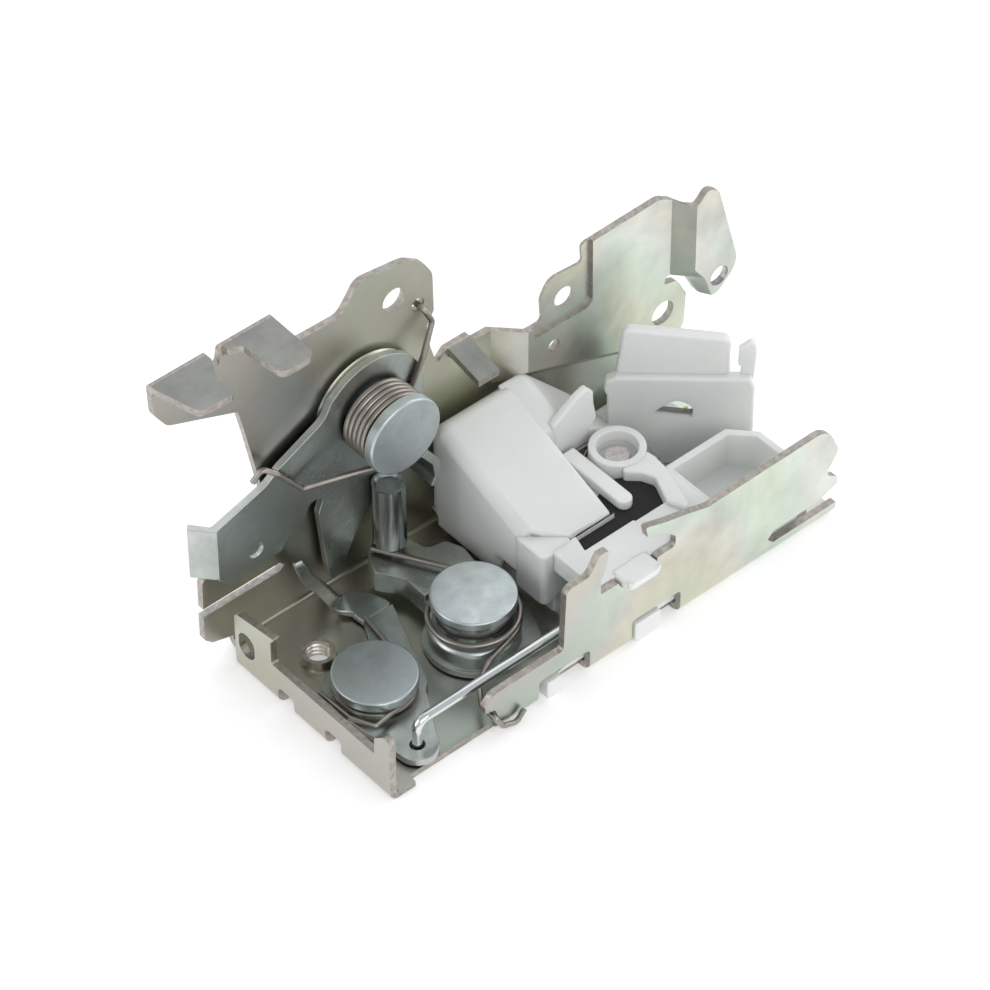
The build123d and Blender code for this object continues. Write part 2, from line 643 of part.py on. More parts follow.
# Release lever's spring, hooked over the lever and into the wall's small hole
release_coil_start = release_head_back + release_wire / 2 + 0.03
release_spring = Part() + spring(
    release_plane.offset(release_coil_start), release_coil_radius, release_wire, release_wire + 0.035, 5.18,
    True, [(5.0, 9.4, 35.9), (0.0, 10.0, 42.6), (-2.4, 11.4, 44.2), (-4.2, 12.0, 41.6)],
    [(35.2, 10.5, 49.6), (38.7, 12.0, 55.2), (37.0, 12.3, 58.9), (37.0, 16.4, 58.9)], 1.1)

# Wire rod between the link lever and the drive
rod_inner_x = lock_axis[0] - rod_travel / 2
rod_y = link_eye[1]
with BuildPart() as link_rod:
    with BuildLine() as route:
        FilletPolyline((link_eye[0], rod_y, floor_top + 0.2), (link_eye[0], rod_y, rod_height),
                       (rod_inner_x, rod_y, rod_height), (rod_inner_x, rod_y, 4.4), radius=rod_bend)
    with BuildSketch(Plane(origin=(link_eye[0], rod_y, floor_top + 0.2), z_dir=(0, 0, 1))):
        Circle(rod_radius)
    sweep(path=route.line)
    with BuildSketch(Plane.XY.offset(3.9)):
        with Locations((rod_inner_x, rod_y)):
            Circle(rod_radius - 0.25)
    extrude(amount=0.6)


# Nylon base: floor, front wall with clip feet, recessed top frame, ring boss, pocket and bearing post
deck_bottom = 14.6
deck_top = deck_bottom + shelf
frame_front = housing_front
pad_outline = [
    (60.9, -12.4), (67.0, -15.6), (65.3, -24.0), (44.6, -24.0), (45.6, hump_front - 0.6),
    (hump_right + 0.4, hump_front - 0.6), (hump_right + 0.4, -14.9),
]
frame_outline = [
    (tray_inner_left, frame_front), (pocket_left, frame_front), (pocket_left, -15.6), (72.0, -12.0), (72.0, -3.4),
    (61.4, -3.4), (61.4, -10.4), (56.0, -10.4), (56.0, hump_front - 0.3), (tray_inner_left, hump_front - 0.3),
]
pocket_outline = [
    (pocket_left, frame_front), (pocket_right, frame_front), (pocket_right, -21.8), (86.4, pocket_back - 0.9),
    (pocket_left, pocket_back - 0.9),
]
lever_sweep = [
    (55.0, -10.0), (61.4, -10.0), (68.4, -14.6), (66.3, -24.6), (56.5, -24.6), (56.5, -22.0), (55.0, -22.0),
]
post_left = 71.0
post_width = 1.6
with BuildPart() as housing_base:
    with BuildSketch(Plane.XY.offset(floor_top)):
        Polygon((41.0, -31.9), (94.5, -31.9), (94.5, housing_back - 0.4), (41.0, housing_back - 0.4), align=None)
    extrude(amount=base_floor)
    # Front wall and the low arm that carries the first clip
    with BuildSketch(Plane.XY.offset(floor_top + bend_inside + 0.1)):
        Polygon((25.6, frame_front), (pocket_right, frame_front), (pocket_right, frame_front + 1.2),
                (25.6, frame_front + 1.2), align=None)
    extrude(amount=2.6)
    with BuildSketch(Plane.XY.offset(floor_top + bend_inside + 0.1)):
        Polygon((tray_inner_left, frame_front), (pocket_right, frame_front), (pocket_right, frame_front + 1.2),
                (tray_inner_left, frame_front + 1.2), align=None)
    extrude(amount=frame_top - 4.0)
    # Frame: a deck with the rim that stands round the pad
    with BuildSketch(Plane.XY.offset(deck_bottom)):
        Polygon(*frame_outline, align=None)
    extrude(amount=frame_top - deck_bottom)
    with BuildSketch(Plane.XY.offset(deck_top)):
        Polygon(*pad_outline, align=None)
        offset(amount=0.15, kind=Kind.INTERSECTION)
    extrude(amount=10, mode=Mode.SUBTRACT)
    with BuildSketch(Plane.XY.offset(frame_top - 1.8)):
        Polygon(*lever_sweep, align=None)
    extrude(amount=10, mode=Mode.SUBTRACT)
    with BuildSketch(Plane.XY.offset(deck_top)):
        Polygon((61.0, -3.0), (72.5, -3.0), (72.5, -14.0), (67.6, -15.2), (61.0, -11.6), align=None)
    extrude(amount=10, mode=Mode.SUBTRACT)
    with BuildSketch(Plane.XY.offset(deck_top)):
        with Locations(lock_axis):
            Circle(lock_coil_radius + lock_wire / 2 + 0.3)
    extrude(amount=10, mode=Mode.SUBTRACT)
    with BuildSketch(Plane.XY.offset(deck_bottom)):
        with Locations(lock_axis):
            Circle(ring_outer)
    extrude(amount=ring_top - deck_bottom)
    # Pocket, open at the top
    with BuildSketch(Plane.XY.offset(pocket_floor - 1.4)):
        Polygon(*pocket_outline, align=None)
    extrude(amount=pocket_top - pocket_floor + 1.4)
    with BuildSketch(Plane.XY.offset(pocket_floor)):
        Polygon(*pocket_outline, align=None)
        offset(amount=-1.5, kind=Kind.INTERSECTION)
    extrude(amount=20, mode=Mode.SUBTRACT)
    with BuildSketch(Plane.XY.offset(base_top - 0.1)):
        Polygon((pocket_right - 1.6, frame_front), (pocket_right, frame_front), (pocket_right, -22.0),
                (pocket_right - 1.6, -22.0), align=None)
    extrude(amount=pocket_floor - base_top)
    # Wall under the frame's left edge and the left end of the hump
    with BuildSketch(Plane.XY.offset(base_top - 0.1)):
        Polygon((41.0, 11.0), (94.5, 11.0), (94.5, housing_back - 0.4), (41.0, housing_back - 0.4), align=None)
    extrude(amount=3.0)
    # Post for the worm's end bearing, and the saddle under the motor
    with BuildSketch(Plane.YZ.offset(post_left)):
        Polygon((worm_axis_y - 3.4, base_top - 0.1), (worm_axis_y + 3.4, base_top - 0.1),
                (worm_axis_y + 3.4, motor_axis_z + 2.2), (worm_axis_y - 2.4, motor_axis_z + 2.2), align=None)
        with Locations((worm_axis_y, motor_axis_z)):
            Circle(2.0 + seat_gap, mode=Mode.SUBTRACT)
    extrude(amount=post_width)
    with BuildSketch(Plane.YZ.offset(42.5)):
        Polygon((worm_axis_y - 6.4, base_top - 0.1), (worm_axis_y + 6.4, base_top - 0.1),
                (worm_axis_y + 6.4, motor_axis_z - 3.8), (worm_axis_y - 6.4, motor_axis_z - 3.8), align=None)
        with Locations((worm_axis_y, motor_axis_z)):
            Circle(motor_radius + seat_gap, mode=Mode.SUBTRACT)
    extrude(amount=9.0)
    # Tongue over the front flange and clip feet through its windows
    with BuildSketch(Plane.XY.offset(frame_top - 1.3)):
        Polygon((44.5, frame_front + 1), (44.5, -36.4), (52.4, -36.4), (52.4, frame_front + 1), align=None)
    extrude(amount=1.5)
    with BuildSketch(Plane.XZ.offset(-frame_front - 0.2)):
        with Locations((27.4, 3.0)):
            Rectangle(3.4, 4.2)
        with Locations((50.6, 3.3)):
            Rectangle(6.2, 4.8)
    extrude(amount=tray_front + frame_front + 0.8)
    # Room for the rod arm under the front wall
    with BuildSketch(Plane.XZ.offset(-frame_front + 1)):
        Polygon((57.5, 5.2), (74.0, 5.2), (74.0, 8.9), (57.5, 8.9), align=None)
    extrude(amount=-3.0, mode=Mode.SUBTRACT)
    with BuildSketch(Plane.XY):
        with Locations(lock_axis):
            Circle(lock_pin_radius + running_gap)
    extrude(amount=40, mode=Mode.SUBTRACT)
    with BuildSketch(Plane.XY.offset(frame_top - 1.2)):
        with Locations(lock_axis):
            Circle(ring_inner)
    extrude(amount=10, mode=Mode.SUBTRACT)

# Foam buffer in the frame's recess
with BuildPart() as foam_pad:
    with BuildSketch(Plane.XY.offset(deck_top)):
        Polygon(*pad_outline, align=None)
        with Locations(lock_axis):
            Circle(lock_coil_radius + lock_wire / 2 + 0.3, mode=Mode.SUBTRACT)
    extrude(amount=pad_thickness)

# Drive cover: hump over the motor, side roof over the worm and an upright fin
hump_profile = [
    (housing_back - 0.4, base_top), (housing_back - 0.4, 27.2), (10.0, 30.6), (7.2, 30.4),
    (hump_front + 2.2, 20.2), (hump_front, 17.6), (hump_front, 8.4), (-8.4, 8.4), (-7.2, base_top),
]
hump_room = [
    (housing_back - 0.4 - nylon, base_top), (housing_back - 0.4 - nylon, 26.4), (9.2, 28.8), (7.6, 28.6),
    (hump_front + 3.0, 18.6), (hump_front + nylon, 17.0), (hump_front + nylon, 2.0), (-12.6, 2.0),
]
roof_profile = [
    (hump_right - 2, base_top), (hump_right - 2, 28.0), (57.4, 27.6), (69.4, 19.6), (73.0, 14.8),
    (74.0, 13.0), (74.0, base_top),
]
roof_room = [
    (hump_right - 3, base_top - 1), (hump_right - 3, 26.2), (56.9, 25.8), (68.2, 18.4), (71.6, 14.4),
    (72.8, 13.2), (72.8, base_top - 1),
]
roof_front = -1.5
with BuildPart() as drive_cover:
    with BuildSketch(Plane.YZ.offset(block_left)):
        Polygon(*hump_profile, align=None)
    extrude(amount=hump_right - block_left)
    with BuildSketch(Plane.XZ.offset(-roof_front)):
        Polygon(*roof_profile, align=None)
    extrude(amount=-(housing_back - 0.4 - roof_front))
    with BuildSketch(Plane.YZ.offset(block_left + nylon)):
        Polygon(*hump_room, align=None)
    extrude(amount=hump_right - block_left - nylon * 2, mode=Mode.SUBTRACT)
    with BuildSketch(Plane.XZ.offset(-roof_front - 1.3)):
        Polygon(*roof_room, align=None)
    extrude(amount=-(housing_back - 0.4 - roof_front - 1.3 - nylon), mode=Mode.SUBTRACT)
    # Way out for the motor's nose and shaft
    with BuildSketch(Plane.YZ.offset(hump_right - nylon - 1)):
        Polygon((worm_axis_y - 3.2, 0), (worm_axis_y + 3.2, 0), (worm_axis_y + 3.2, motor_axis_z + 3.2),
                (worm_axis_y - 3.2, motor_axis_z + 3.2), align=None)
    extrude(amount=nylon + 1.2, mode=Mode.SUBTRACT)
    # Fin beside the side roof
    with BuildSketch(Plane.XZ.offset(-roof_front)):
        Polygon((57.0, 24.0), (66.8, 30.2), (68.6, 28.0), (68.4, 17.0), (60.0, 20.0), align=None)
    extrude(amount=-1.3)
    # Front of the side roof is open for the wheel
    with BuildSketch(Plane.XZ.offset(-roof_front + 1)):
        Polygon((hump_right + 0.2, 0), (80, 0), (80, 13.6), (hump_right + 0.2, 13.6), align=None)
    extrude(amount=-2.6, mode=Mode.SUBTRACT)
    # Back edge and ends rest on the base, the left foot reaches beside it
    with BuildSketch(Plane.XY):
        Polygon((40.8, 12.0 - 1.4), (95, 12.0 - 1.4), (95, 14), (40.8, 14), align=None)
    extrude(amount=6.25, mode=Mode.SUBTRACT)

# Connector block, turned, with an upright plate, a hook and a socket on the far side
block_frame = Plane(origin=(75.6, 0.4, base_top), x_dir=(cos(radians(block_turn)), sin(radians(block_turn)), 0),
                    z_dir=(0, 0, 1))
block_length = 20.6
with BuildPart() as connector_block:
    with BuildSketch(block_frame):
        Rectangle(block_length, block_depth, align=(Align.MIN, Align.MIN))
    extrude(amount=block_top - base_top)
    with BuildSketch(block_frame.offset(block_top - base_top)):
        with Locations((1.2, 0)):
            Rectangle(17.6, 2.2, align=(Align.MIN, Align.MIN))
    extrude(amount=plate_top - block_top)
    with BuildSketch(block_frame.offset(block_top - base_top)):
        with Locations((block_length - 1.8, -1.6)):
            Rectangle(1.8, 3.8, align=(Align.MIN, Align.MIN))
    extrude(amount=plate_top - block_top - 1.6)
    with BuildSketch(block_frame.offset(4.0)):
        with Locations((block_length / 2, block_depth)):
            Rectangle(15.0, 12.0)
    extrude(amount=11.0, mode=Mode.SUBTRACT)
    with BuildSketch(block_frame.offset(7.0)):
        with Locations((15.2, -1)):
            Rectangle(0.9, 2.2, align=(Align.MIN, Align.MIN))
    extrude(amount=7.0, mode=Mode.SUBTRACT)
    with BuildSketch(block_frame.offset(8.0)):
        with Locations((block_length / 2 - 2.2, 1.0), (block_length / 2 + 2.2, 1.0)):
            Rectangle(0.8, 5.6, align=(Align.CENTER, Align.MIN))
    extrude(amount=0.8, mode=Mode.SUBTRACT)

with BuildPart() as connector_pins:
    with BuildSketch(block_frame.offset(8.0)):
        with Locations((block_length / 2 - 2.2, 1.0), (block_length / 2 + 2.2, 1.0)):
            Rectangle(0.8, 5.6, align=(Align.CENTER, Align.MIN))
    extrude(amount=0.8)

# Worm drive: motor, worm, end bearing and wheel
with BuildPart() as motor:
    with BuildSketch(Plane.YZ.offset(motor_left)):
        with Locations((worm_axis_y, motor_axis_z)):
            Circle(motor_radius)
    extrude(amount=motor_length)
    fillet(motor.edges().filter_by(GeomType.CIRCLE), 0.8)
    with BuildSketch(Plane.YZ.offset(motor_left + motor_length)):
        with Locations((worm_axis_y, motor_axis_z)):
            Circle(2.6)
    extrude(amount=1.0)
    with BuildSketch(Plane.YZ.offset(motor_left + motor_length + 1.0)):
        with Locations((worm_axis_y, motor_axis_z)):
            Circle(1.0 + running_gap)
    extrude(amount=-8.0, mode=Mode.SUBTRACT)

worm_start = lock_axis[0] - thread_pitch * 2
worm_frame = Plane(origin=(worm_start, worm_axis_y, motor_axis_z), x_dir=(0, -1, 0), z_dir=(1, 0, 0))
shaft_left = 48.6
with BuildPart() as worm_shape:
    with BuildLine() as route:
        Helix(thread_pitch, thread_pitch * thread_turns, 1.75)
    with BuildSketch(Plane(origin=(1.75, 0, 0), x_dir=(1, 0, 0), z_dir=(0, 1, 0))):
        Polygon((-0.75, -0.45), (worm_radius - 1.75, -0.2), (worm_radius - 1.75, 0.2), (-0.75, 0.45), align=None)
    sweep(path=route.line, is_frenet=True)
    with BuildSketch(Plane.XY.offset(-0.8)):
        Circle(1.15)
    extrude(amount=thread_pitch * thread_turns + 1.6)
    with BuildSketch(Plane.XY.offset(shaft_left - worm_start)):
        Circle(1.0)
    extrude(amount=post_left + post_width - 0.1 - shaft_left)
motor_shaft_worm = worm_frame.location * worm_shape.part

with BuildPart() as worm_end_bearing:
    with BuildSketch(Plane.YZ.offset(post_left)):
        with Locations((worm_axis_y, motor_axis_z)):
            Circle(2.0)
            Circle(1.0 + running_gap, mode=Mode.SUBTRACT)
    extrude(amount=post_width)

# Wheel with the arm that pulls the rod
arm_end = (rod_inner_x, rod_y)
with BuildPart() as worm_wheel:
    with BuildSketch(Plane.XY.offset(wheel_bottom)):
        with Locations(lock_axis):
            Circle(wheel_root)
            with PolarLocations(wheel_root, wheel_teeth, start_angle=90 + 180 / wheel_teeth):
                Polygon((-0.5, -0.58), (wheel_radius - wheel_root, -0.3), (wheel_radius - wheel_root, 0.3),
                        (-0.5, 0.58), align=None)
    extrude(amount=wheel_top - wheel_bottom)
    with BuildSketch(Plane.XY.offset(base_top + running_gap)):
        with Locations(lock_axis):
            Circle(4.2)
    extrude(amount=wheel_bottom - base_top)
    with BuildSketch(Plane.XY.offset(rod_lever_bottom)):
        Polygon((lock_axis[0] - 4.1, lock_axis[1] - 1), (arm_end[0] - 2.9, arm_end[1]), (arm_end[0] + 2.9, arm_end[1]),
                (lock_axis[0] + 4.1, lock_axis[1] - 1), align=None)
        with Locations(arm_end):
            Circle(2.9)
    extrude(amount=rod_lever_top - rod_lever_bottom)
    with BuildSketch(Plane.XY):
        with Locations(lock_axis):
            Circle(lock_pin_radius + running_gap)
        with Locations(arm_end):
            Circle(link_eye_radius)
    extrude(amount=20, mode=Mode.SUBTRACT)
    with BuildSketch(Plane.XY.offset(wheel_top - 1.0)):
        with Locations((lock_axis[0] - 4.4, lock_axis[1]), (lock_axis[0] + 4.4, lock_axis[1])):
            Rectangle(1.6, 2.4)
    extrude(amount=2.0, mode=Mode.SUBTRACT)

# Lever on top of the wheel, with the finger over the pad
finger_bottom = deck_top + pad_thickness + 0.3
with BuildPart() as lock_lever:
    with BuildSketch(Plane.XY.offset(lock_bottom)):
        with Locations(lock_axis):
            Circle(6.0)
        Polygon((lock_axis[0], lock_axis[1] + 5.6), (lock_axis[0] - 9.4, lock_axis[1] + 5.6),
                (lock_axis[0] - 9.4, lock_axis[1] + 1.6), (lock_axis[0] - 3, lock_axis[1] - 4), align=None)
    extrude(amount=lock_top - lock_bottom)
    with BuildSketch(Plane.XY.offset(lock_bottom)):
        Polygon((lock_axis[0] - 9.4, lock_axis[1] + 5.6), (lock_axis[0] - 7.2, lock_axis[1] + 5.6),
                (lock_axis[0] - 7.2, lock_axis[1] + 2.0), (lock_axis[0] - 9.4, lock_axis[1] + 2.0), align=None)
    extrude(amount=finger_bottom + 2.2 - lock_bottom)
    with BuildSketch(Plane.XY.offset(finger_bottom)):
        Polygon((lock_axis[0] - 9.4, lock_axis[1] + 5.6), (lock_axis[0] - 6.1, lock_axis[1] + 5.6),
                (lock_axis[0] - 6.1, lock_axis[1] - 10.4), (lock_axis[0] - 9.4, lock_axis[1] - 10.4), align=None)
        with Locations((lock_axis[0] - 7.75, lock_axis[1] - 10.4)):
            Circle(1.65)
    extrude(amount=2.2)
    with BuildSketch(Plane.XY.offset(lock_bottom - 0.9)):
        with Locations((lock_axis[0] - 4.4, lock_axis[1]), (lock_axis[0] + 4.4, lock_axis[1])):
            Rectangle(1.5, 2.3)
    extrude(amount=1.2)
    with BuildSketch(Plane.XY):
        with Locations(lock_axis):
            Circle(lock_pin_radius + running_gap)
    extrude(amount=40, mode=Mode.SUBTRACT)

# Pivot pin of the wheel and the lever, seen in the ring boss
with BuildPart() as lock_pivot_pin:
    with BuildSketch(Plane.XY):
        with Locations(lock_axis):
            Circle(lock_pin_radius)
    extrude(amount=frame_top - 1.0)
    fillet(lock_pivot_pin.edges().filter_by(GeomType.CIRCLE).group_by(Axis.Z)[-1], 0.3)

# Return spring round the ring boss
lock_spring_bottom = deck_top + lock_wire / 2 + 0.02
lx, ly = lock_axis
lock_spring = Part() + spring(
    level_frame(lock_axis, lock_spring_bottom, 0), lock_coil_radius, lock_wire, lock_wire + 0.03, 1.25, False,
    [(lx + lock_coil_radius, ly - 4.6, lock_spring_bottom - 0.01)],
    [(lx - 7.0, ly + lock_coil_radius, lock_spring_bottom + 1.2)], 0.5)

# Push-on cap under the wheel's arm
with BuildPart() as rod_retainer:
    with BuildSketch(Plane.XY.offset(4.4)):
        with Locations(arm_end):
            Circle(1.8)
            Circle(rod_radius + seat_gap, mode=Mode.SUBTRACT)
    extrude(amount=rod_lever_bottom - 4.4 - 0.1)

for piece, name in (
        (main_bracket.part, "main_bracket"), (link_pivot_rivet.part, "link_pivot_rivet"),
        (link_lever.part, "link_lever"), (link_spring, "link_spring"), (link_rod.part, "link_rod"),
        (lockout_pivot_rivet.part, "lockout_pivot_rivet"), (lockout_lever.part, "lockout_lever"),
        (lockout_bush.part, "lockout_bush"), (lockout_spring, "lockout_spring"),
        (transfer_pin.part, "transfer_pin"), (release_pivot_rivet.part, "release_pivot_rivet"),
        (release_lever.part, "release_lever"), (release_bush.part, "release_bush"),
        (release_spring, "release_spring"), (housing_base.part, "housing_base"),
        (drive_cover.part, "drive_cover"), (connector_block.part, "connector_block"),
        (foam_pad.part, "foam_pad"), (lock_lever.part, "lock_lever"), (lock_pivot_pin.part, "lock_pivot_pin"),
        (lock_spring, "lock_spring"), (motor.part, "motor"), (motor_shaft_worm, "motor_shaft_worm"),
        (worm_wheel.part, "worm_wheel"), (worm_end_bearing.part, "worm_end_bearing"),
        (connector_pins.part, "connector_pins"), (rod_retainer.part, "rod_retainer")):
    piece.label = name
    export_step(piece, "parts/" + name + ".step")
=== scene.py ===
"""Looks for the linkage tray of a door latch actuator: a pressed and plated bracket, sprung levers on
large-headed rivets, a bright wire rod, and the nylon housing of the drive with its foam pad and socket."""

import math

import bmesh
import bpy
import numpy as np
from mathutils import Matrix, Vector
from mathutils.bvhtree import BVHTree


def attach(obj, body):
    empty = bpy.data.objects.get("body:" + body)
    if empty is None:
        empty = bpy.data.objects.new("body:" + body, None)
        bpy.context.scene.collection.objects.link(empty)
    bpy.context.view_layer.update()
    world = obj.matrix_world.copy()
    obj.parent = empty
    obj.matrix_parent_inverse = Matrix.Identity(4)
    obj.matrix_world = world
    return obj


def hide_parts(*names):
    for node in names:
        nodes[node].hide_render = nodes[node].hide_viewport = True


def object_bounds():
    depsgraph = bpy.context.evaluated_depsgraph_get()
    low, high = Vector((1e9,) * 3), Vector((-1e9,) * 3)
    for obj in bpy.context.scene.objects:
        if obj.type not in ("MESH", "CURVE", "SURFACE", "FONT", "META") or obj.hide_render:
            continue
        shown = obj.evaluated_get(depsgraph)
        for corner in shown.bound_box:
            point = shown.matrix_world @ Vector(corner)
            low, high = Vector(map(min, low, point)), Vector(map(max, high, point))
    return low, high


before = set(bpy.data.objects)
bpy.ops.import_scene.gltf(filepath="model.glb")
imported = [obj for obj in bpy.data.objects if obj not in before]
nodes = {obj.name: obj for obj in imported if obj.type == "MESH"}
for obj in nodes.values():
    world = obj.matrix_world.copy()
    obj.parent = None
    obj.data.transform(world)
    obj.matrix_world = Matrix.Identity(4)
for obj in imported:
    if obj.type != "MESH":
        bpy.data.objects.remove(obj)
cad_box = [list(corner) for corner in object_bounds()]
mm = 0.001


# Camera, light and floor

def aim_camera(azimuth, elevation, roll, place, focal_in_pixels, picture_width):
    """A camera that looks down from elevation at the azimuth, rolled about its own line of sight."""
    a, e, r = (math.radians(v) for v in (azimuth, elevation, roll))
    back = Vector((math.sin(a) * math.cos(e), -math.cos(a) * math.cos(e), math.sin(e)))
    right = Vector((math.cos(a), math.sin(a), 0))
    up = back.cross(right)
    across = math.cos(r) * right + math.sin(r) * up
    upright = -math.sin(r) * right + math.cos(r) * up
    data = bpy.data.cameras.new("camera")
    data.sensor_width = 36
    data.lens = focal_in_pixels / picture_width * data.sensor_width
    data.clip_start, data.clip_end = 0.05, 20
    camera = bpy.data.objects.new("camera", data)
    turn = Matrix((across, upright, back)).transposed().to_4x4()
    camera.matrix_world = Matrix.Translation(place) @ turn
    bpy.context.scene.collection.objects.link(camera)
    bpy.context.scene.camera = camera


def softbox(name, place, target, width, height, watts, tint):
    """A rectangular area light that faces its target."""
    data = bpy.data.lights.new(name, "AREA")
    data.shape = "RECTANGLE"
    data.size, data.size_y = width, height
    data.energy = watts
    data.color = tint
    light = bpy.data.objects.new(name, data)
    light.location = place
    light.rotation_mode = "QUATERNION"
    light.rotation_quaternion = (Vector(place) - Vector(target)).to_track_quat("Z", "Y")
    bpy.context.scene.collection.objects.link(light)


aim_camera(azimuth=-40.8, elevation=45.2, roll=-0.2, place=(-0.38850, -0.50032, 0.68157),
           focal_in_pixels=5000, picture_width=990)
middle = (0.035, -0.005, 0.02)
cool, warm, white = (0.98, 0.99, 1.0), (1.0, 0.99, 0.97), (1.0, 1.0, 1.0)
for side, place, width, height, watts, tint in (
        ("over_back", (0.30, 0.46, 0.58), 1.10, 0.80, 1.75, cool),
        ("left", (-0.62, 0.22, 0.34), 0.45, 0.55, 1.2, white),
        ("front", (-0.10, -0.70, 0.50), 0.80, 0.40, 1.95, warm),
        ("right", (0.66, -0.20, 0.36), 0.45, 0.55, 1.2, white)):
    softbox("softbox_" + side, place, middle, width, height, watts, tint)

world = bpy.data.worlds.new("studio")
bpy.context.scene.world = world
world.use_nodes = True
sky = world.node_tree.nodes["Background"].inputs
sky["Color"].default_value = (0.96, 0.97, 1.0, 1)
sky["Strength"].default_value = 0.60
bpy.context.scene.view_settings.view_transform = "Standard"


# Shader node groups

def make_group(name, takes, gives):
    """An empty shader node group with named sockets. takes lists (name, kind, value), gives (name, kind)."""
    group = bpy.data.node_groups.new(name, "ShaderNodeTree")
    kinds = {"number": "NodeSocketFloat", "colour": "NodeSocketColor", "vector": "NodeSocketVector"}
    for label, kind, value in takes:
        socket = group.interface.new_socket(name=label, in_out="INPUT", socket_type=kinds[kind])
        if value is not None:
            socket.default_value = value
    for label, kind in gives:
        group.interface.new_socket(name=label, in_out="OUTPUT", socket_type=kinds[kind])
    return group, group.nodes.new("NodeGroupInput"), group.nodes.new("NodeGroupOutput")


def put(tree, kind, inputs=None, **settings):
    """Adds a node, sets its properties, and sets or links each named or numbered input."""
    node = tree.nodes.new("ShaderNode" + kind)
    for name, value in settings.items():
        setattr(node, name, value)
    for key, value in (inputs or {}).items():
        if isinstance(value, bpy.types.NodeSocket):
            tree.links.new(value, node.inputs[key])
        else:
            node.inputs[key].default_value = value
    return node


def math_node(tree, operation, first, second=0.0, third=0.0):
    """A Math node's result."""
    return put(tree, "Math", {0: first, 1: second, 2: third}, operation=operation).outputs[0]


def ramp(tree, factor, stops):
    """A colour ramp through (place, colour) stops."""
    node = put(tree, "ValToRGB", {"Fac": factor})
    elements = node.color_ramp.elements
    while len(elements) < len(stops):
        elements.new(0.5)
    for element, (place, colour) in zip(elements, stops):
        element.position = place
        element.color = (*colour, 1)
    return node.outputs["Color"]


def blend_colours(tree, factor, first, second, way="MIX"):
    """A Mix node for colours."""
    node = tree.nodes.new("ShaderNodeMix")
    node.data_type = "RGBA"
    node.blend_type = way
    for key, value in (("Factor", factor), ("A", first), ("B", second)):
        socket = next(s for s in node.inputs if s.name == key and s.enabled)
        if isinstance(value, bpy.types.NodeSocket):
            tree.links.new(value, socket)
        else:
            socket.default_value = value
    return next(s for s in node.outputs if s.enabled)


def build_cloud():
    """Zinc bloom: slow soft patches between two colours, with a finer mottle in the roughness."""
    group, take, give = make_group("plating_cloud", [
        ("Vector", "vector", None), ("Colour", "colour", (0.6, 0.6, 0.6, 1)),
        ("Second Colour", "colour", (0.4, 0.4, 0.4, 1)), ("Size", "number", 200.0),
        ("Roughness", "number", 0.3), ("Roughness Spread", "number", 0.1)],
        [("Colour", "colour"), ("Roughness", "number")])
    slow = put(group, "TexNoise", {"Vector": take.outputs["Vector"], "Scale": take.outputs["Size"],
                                   "Detail": 4.0, "Roughness": 0.6, "Distortion": 0.4})
    finer = math_node(group, "MULTIPLY", take.outputs["Size"], 5.0)
    quick = put(group, "TexNoise", {"Vector": take.outputs["Vector"], "Scale": finer, "Detail": 3.0})
    spread = put(group, "MapRange", {"Value": slow.outputs["Fac"], "From Min": 0.30, "From Max": 0.72})
    both = math_node(group, "MULTIPLY_ADD", quick.outputs["Fac"], 0.35,
                     math_node(group, "MULTIPLY", spread.outputs[0], 0.75))
    mask = put(group, "Clamp", {"Value": both}).outputs[0]
    group.links.new(blend_colours(group, mask, take.outputs["Colour"], take.outputs["Second Colour"]),
                    give.inputs["Colour"])
    centred = math_node(group, "SUBTRACT", both, 0.55)
    group.links.new(math_node(group, "MULTIPLY_ADD", centred, take.outputs["Roughness Spread"],
                              take.outputs["Roughness"]), give.inputs["Roughness"])
    return group


def build_film():
    """Passivation film: bands of pale yellow, pink, cyan and green that wander over the metal."""
    group, take, give = make_group("passivation_film", [
        ("Vector", "vector", None), ("Colour", "colour", (0.6, 0.6, 0.6, 1)),
        ("Strength", "number", 0.3), ("Size", "number", 40.0), ("Bands", "number", 2.0)],
        [("Colour", "colour")])
    noise = put(group, "TexNoise", {"Vector": take.outputs["Vector"], "Scale": take.outputs["Size"],
                                    "Detail": 2.0, "Distortion": 0.8})
    wave = math_node(group, "MULTIPLY", noise.outputs["Fac"], take.outputs["Bands"])
    straw, rose, ice, aqua, lime = (
        (1.0, 0.97, 0.82), (1.0, 0.91, 0.90), (0.90, 0.94, 1.0), (0.82, 1.0, 0.96), (0.90, 1.0, 0.84))
    hues = ramp(group, math_node(group, "FRACT", wave),
                [(0.0, straw), (0.22, rose), (0.40, ice), (0.60, aqua), (0.80, lime), (1.0, straw)])
    tinted = blend_colours(group, 1.0, take.outputs["Colour"], hues, "MULTIPLY")
    group.links.new(blend_colours(group, take.outputs["Strength"], take.outputs["Colour"], tinted),
                    give.inputs["Colour"])
    return group


def build_marks():
    """Fine rolling or brushing lines: noise stretched along one direction, as a height."""
    group, take, give = make_group("drawn_lines", [
        ("Vector", "vector", None), ("Stretch", "vector", (1, 1, 1)), ("Size", "number", 900.0)],
        [("Height", "number")])
    pulled = put(group, "VectorMath", {0: take.outputs["Vector"], 1: take.outputs["Stretch"]},
                 operation="MULTIPLY")
    noise = put(group, "TexNoise", {"Vector": pulled.outputs[0], "Scale": take.outputs["Size"],
                                    "Detail": 5.0, "Roughness": 0.7})
    group.links.new(noise.outputs["Fac"], give.inputs["Height"])
    return group


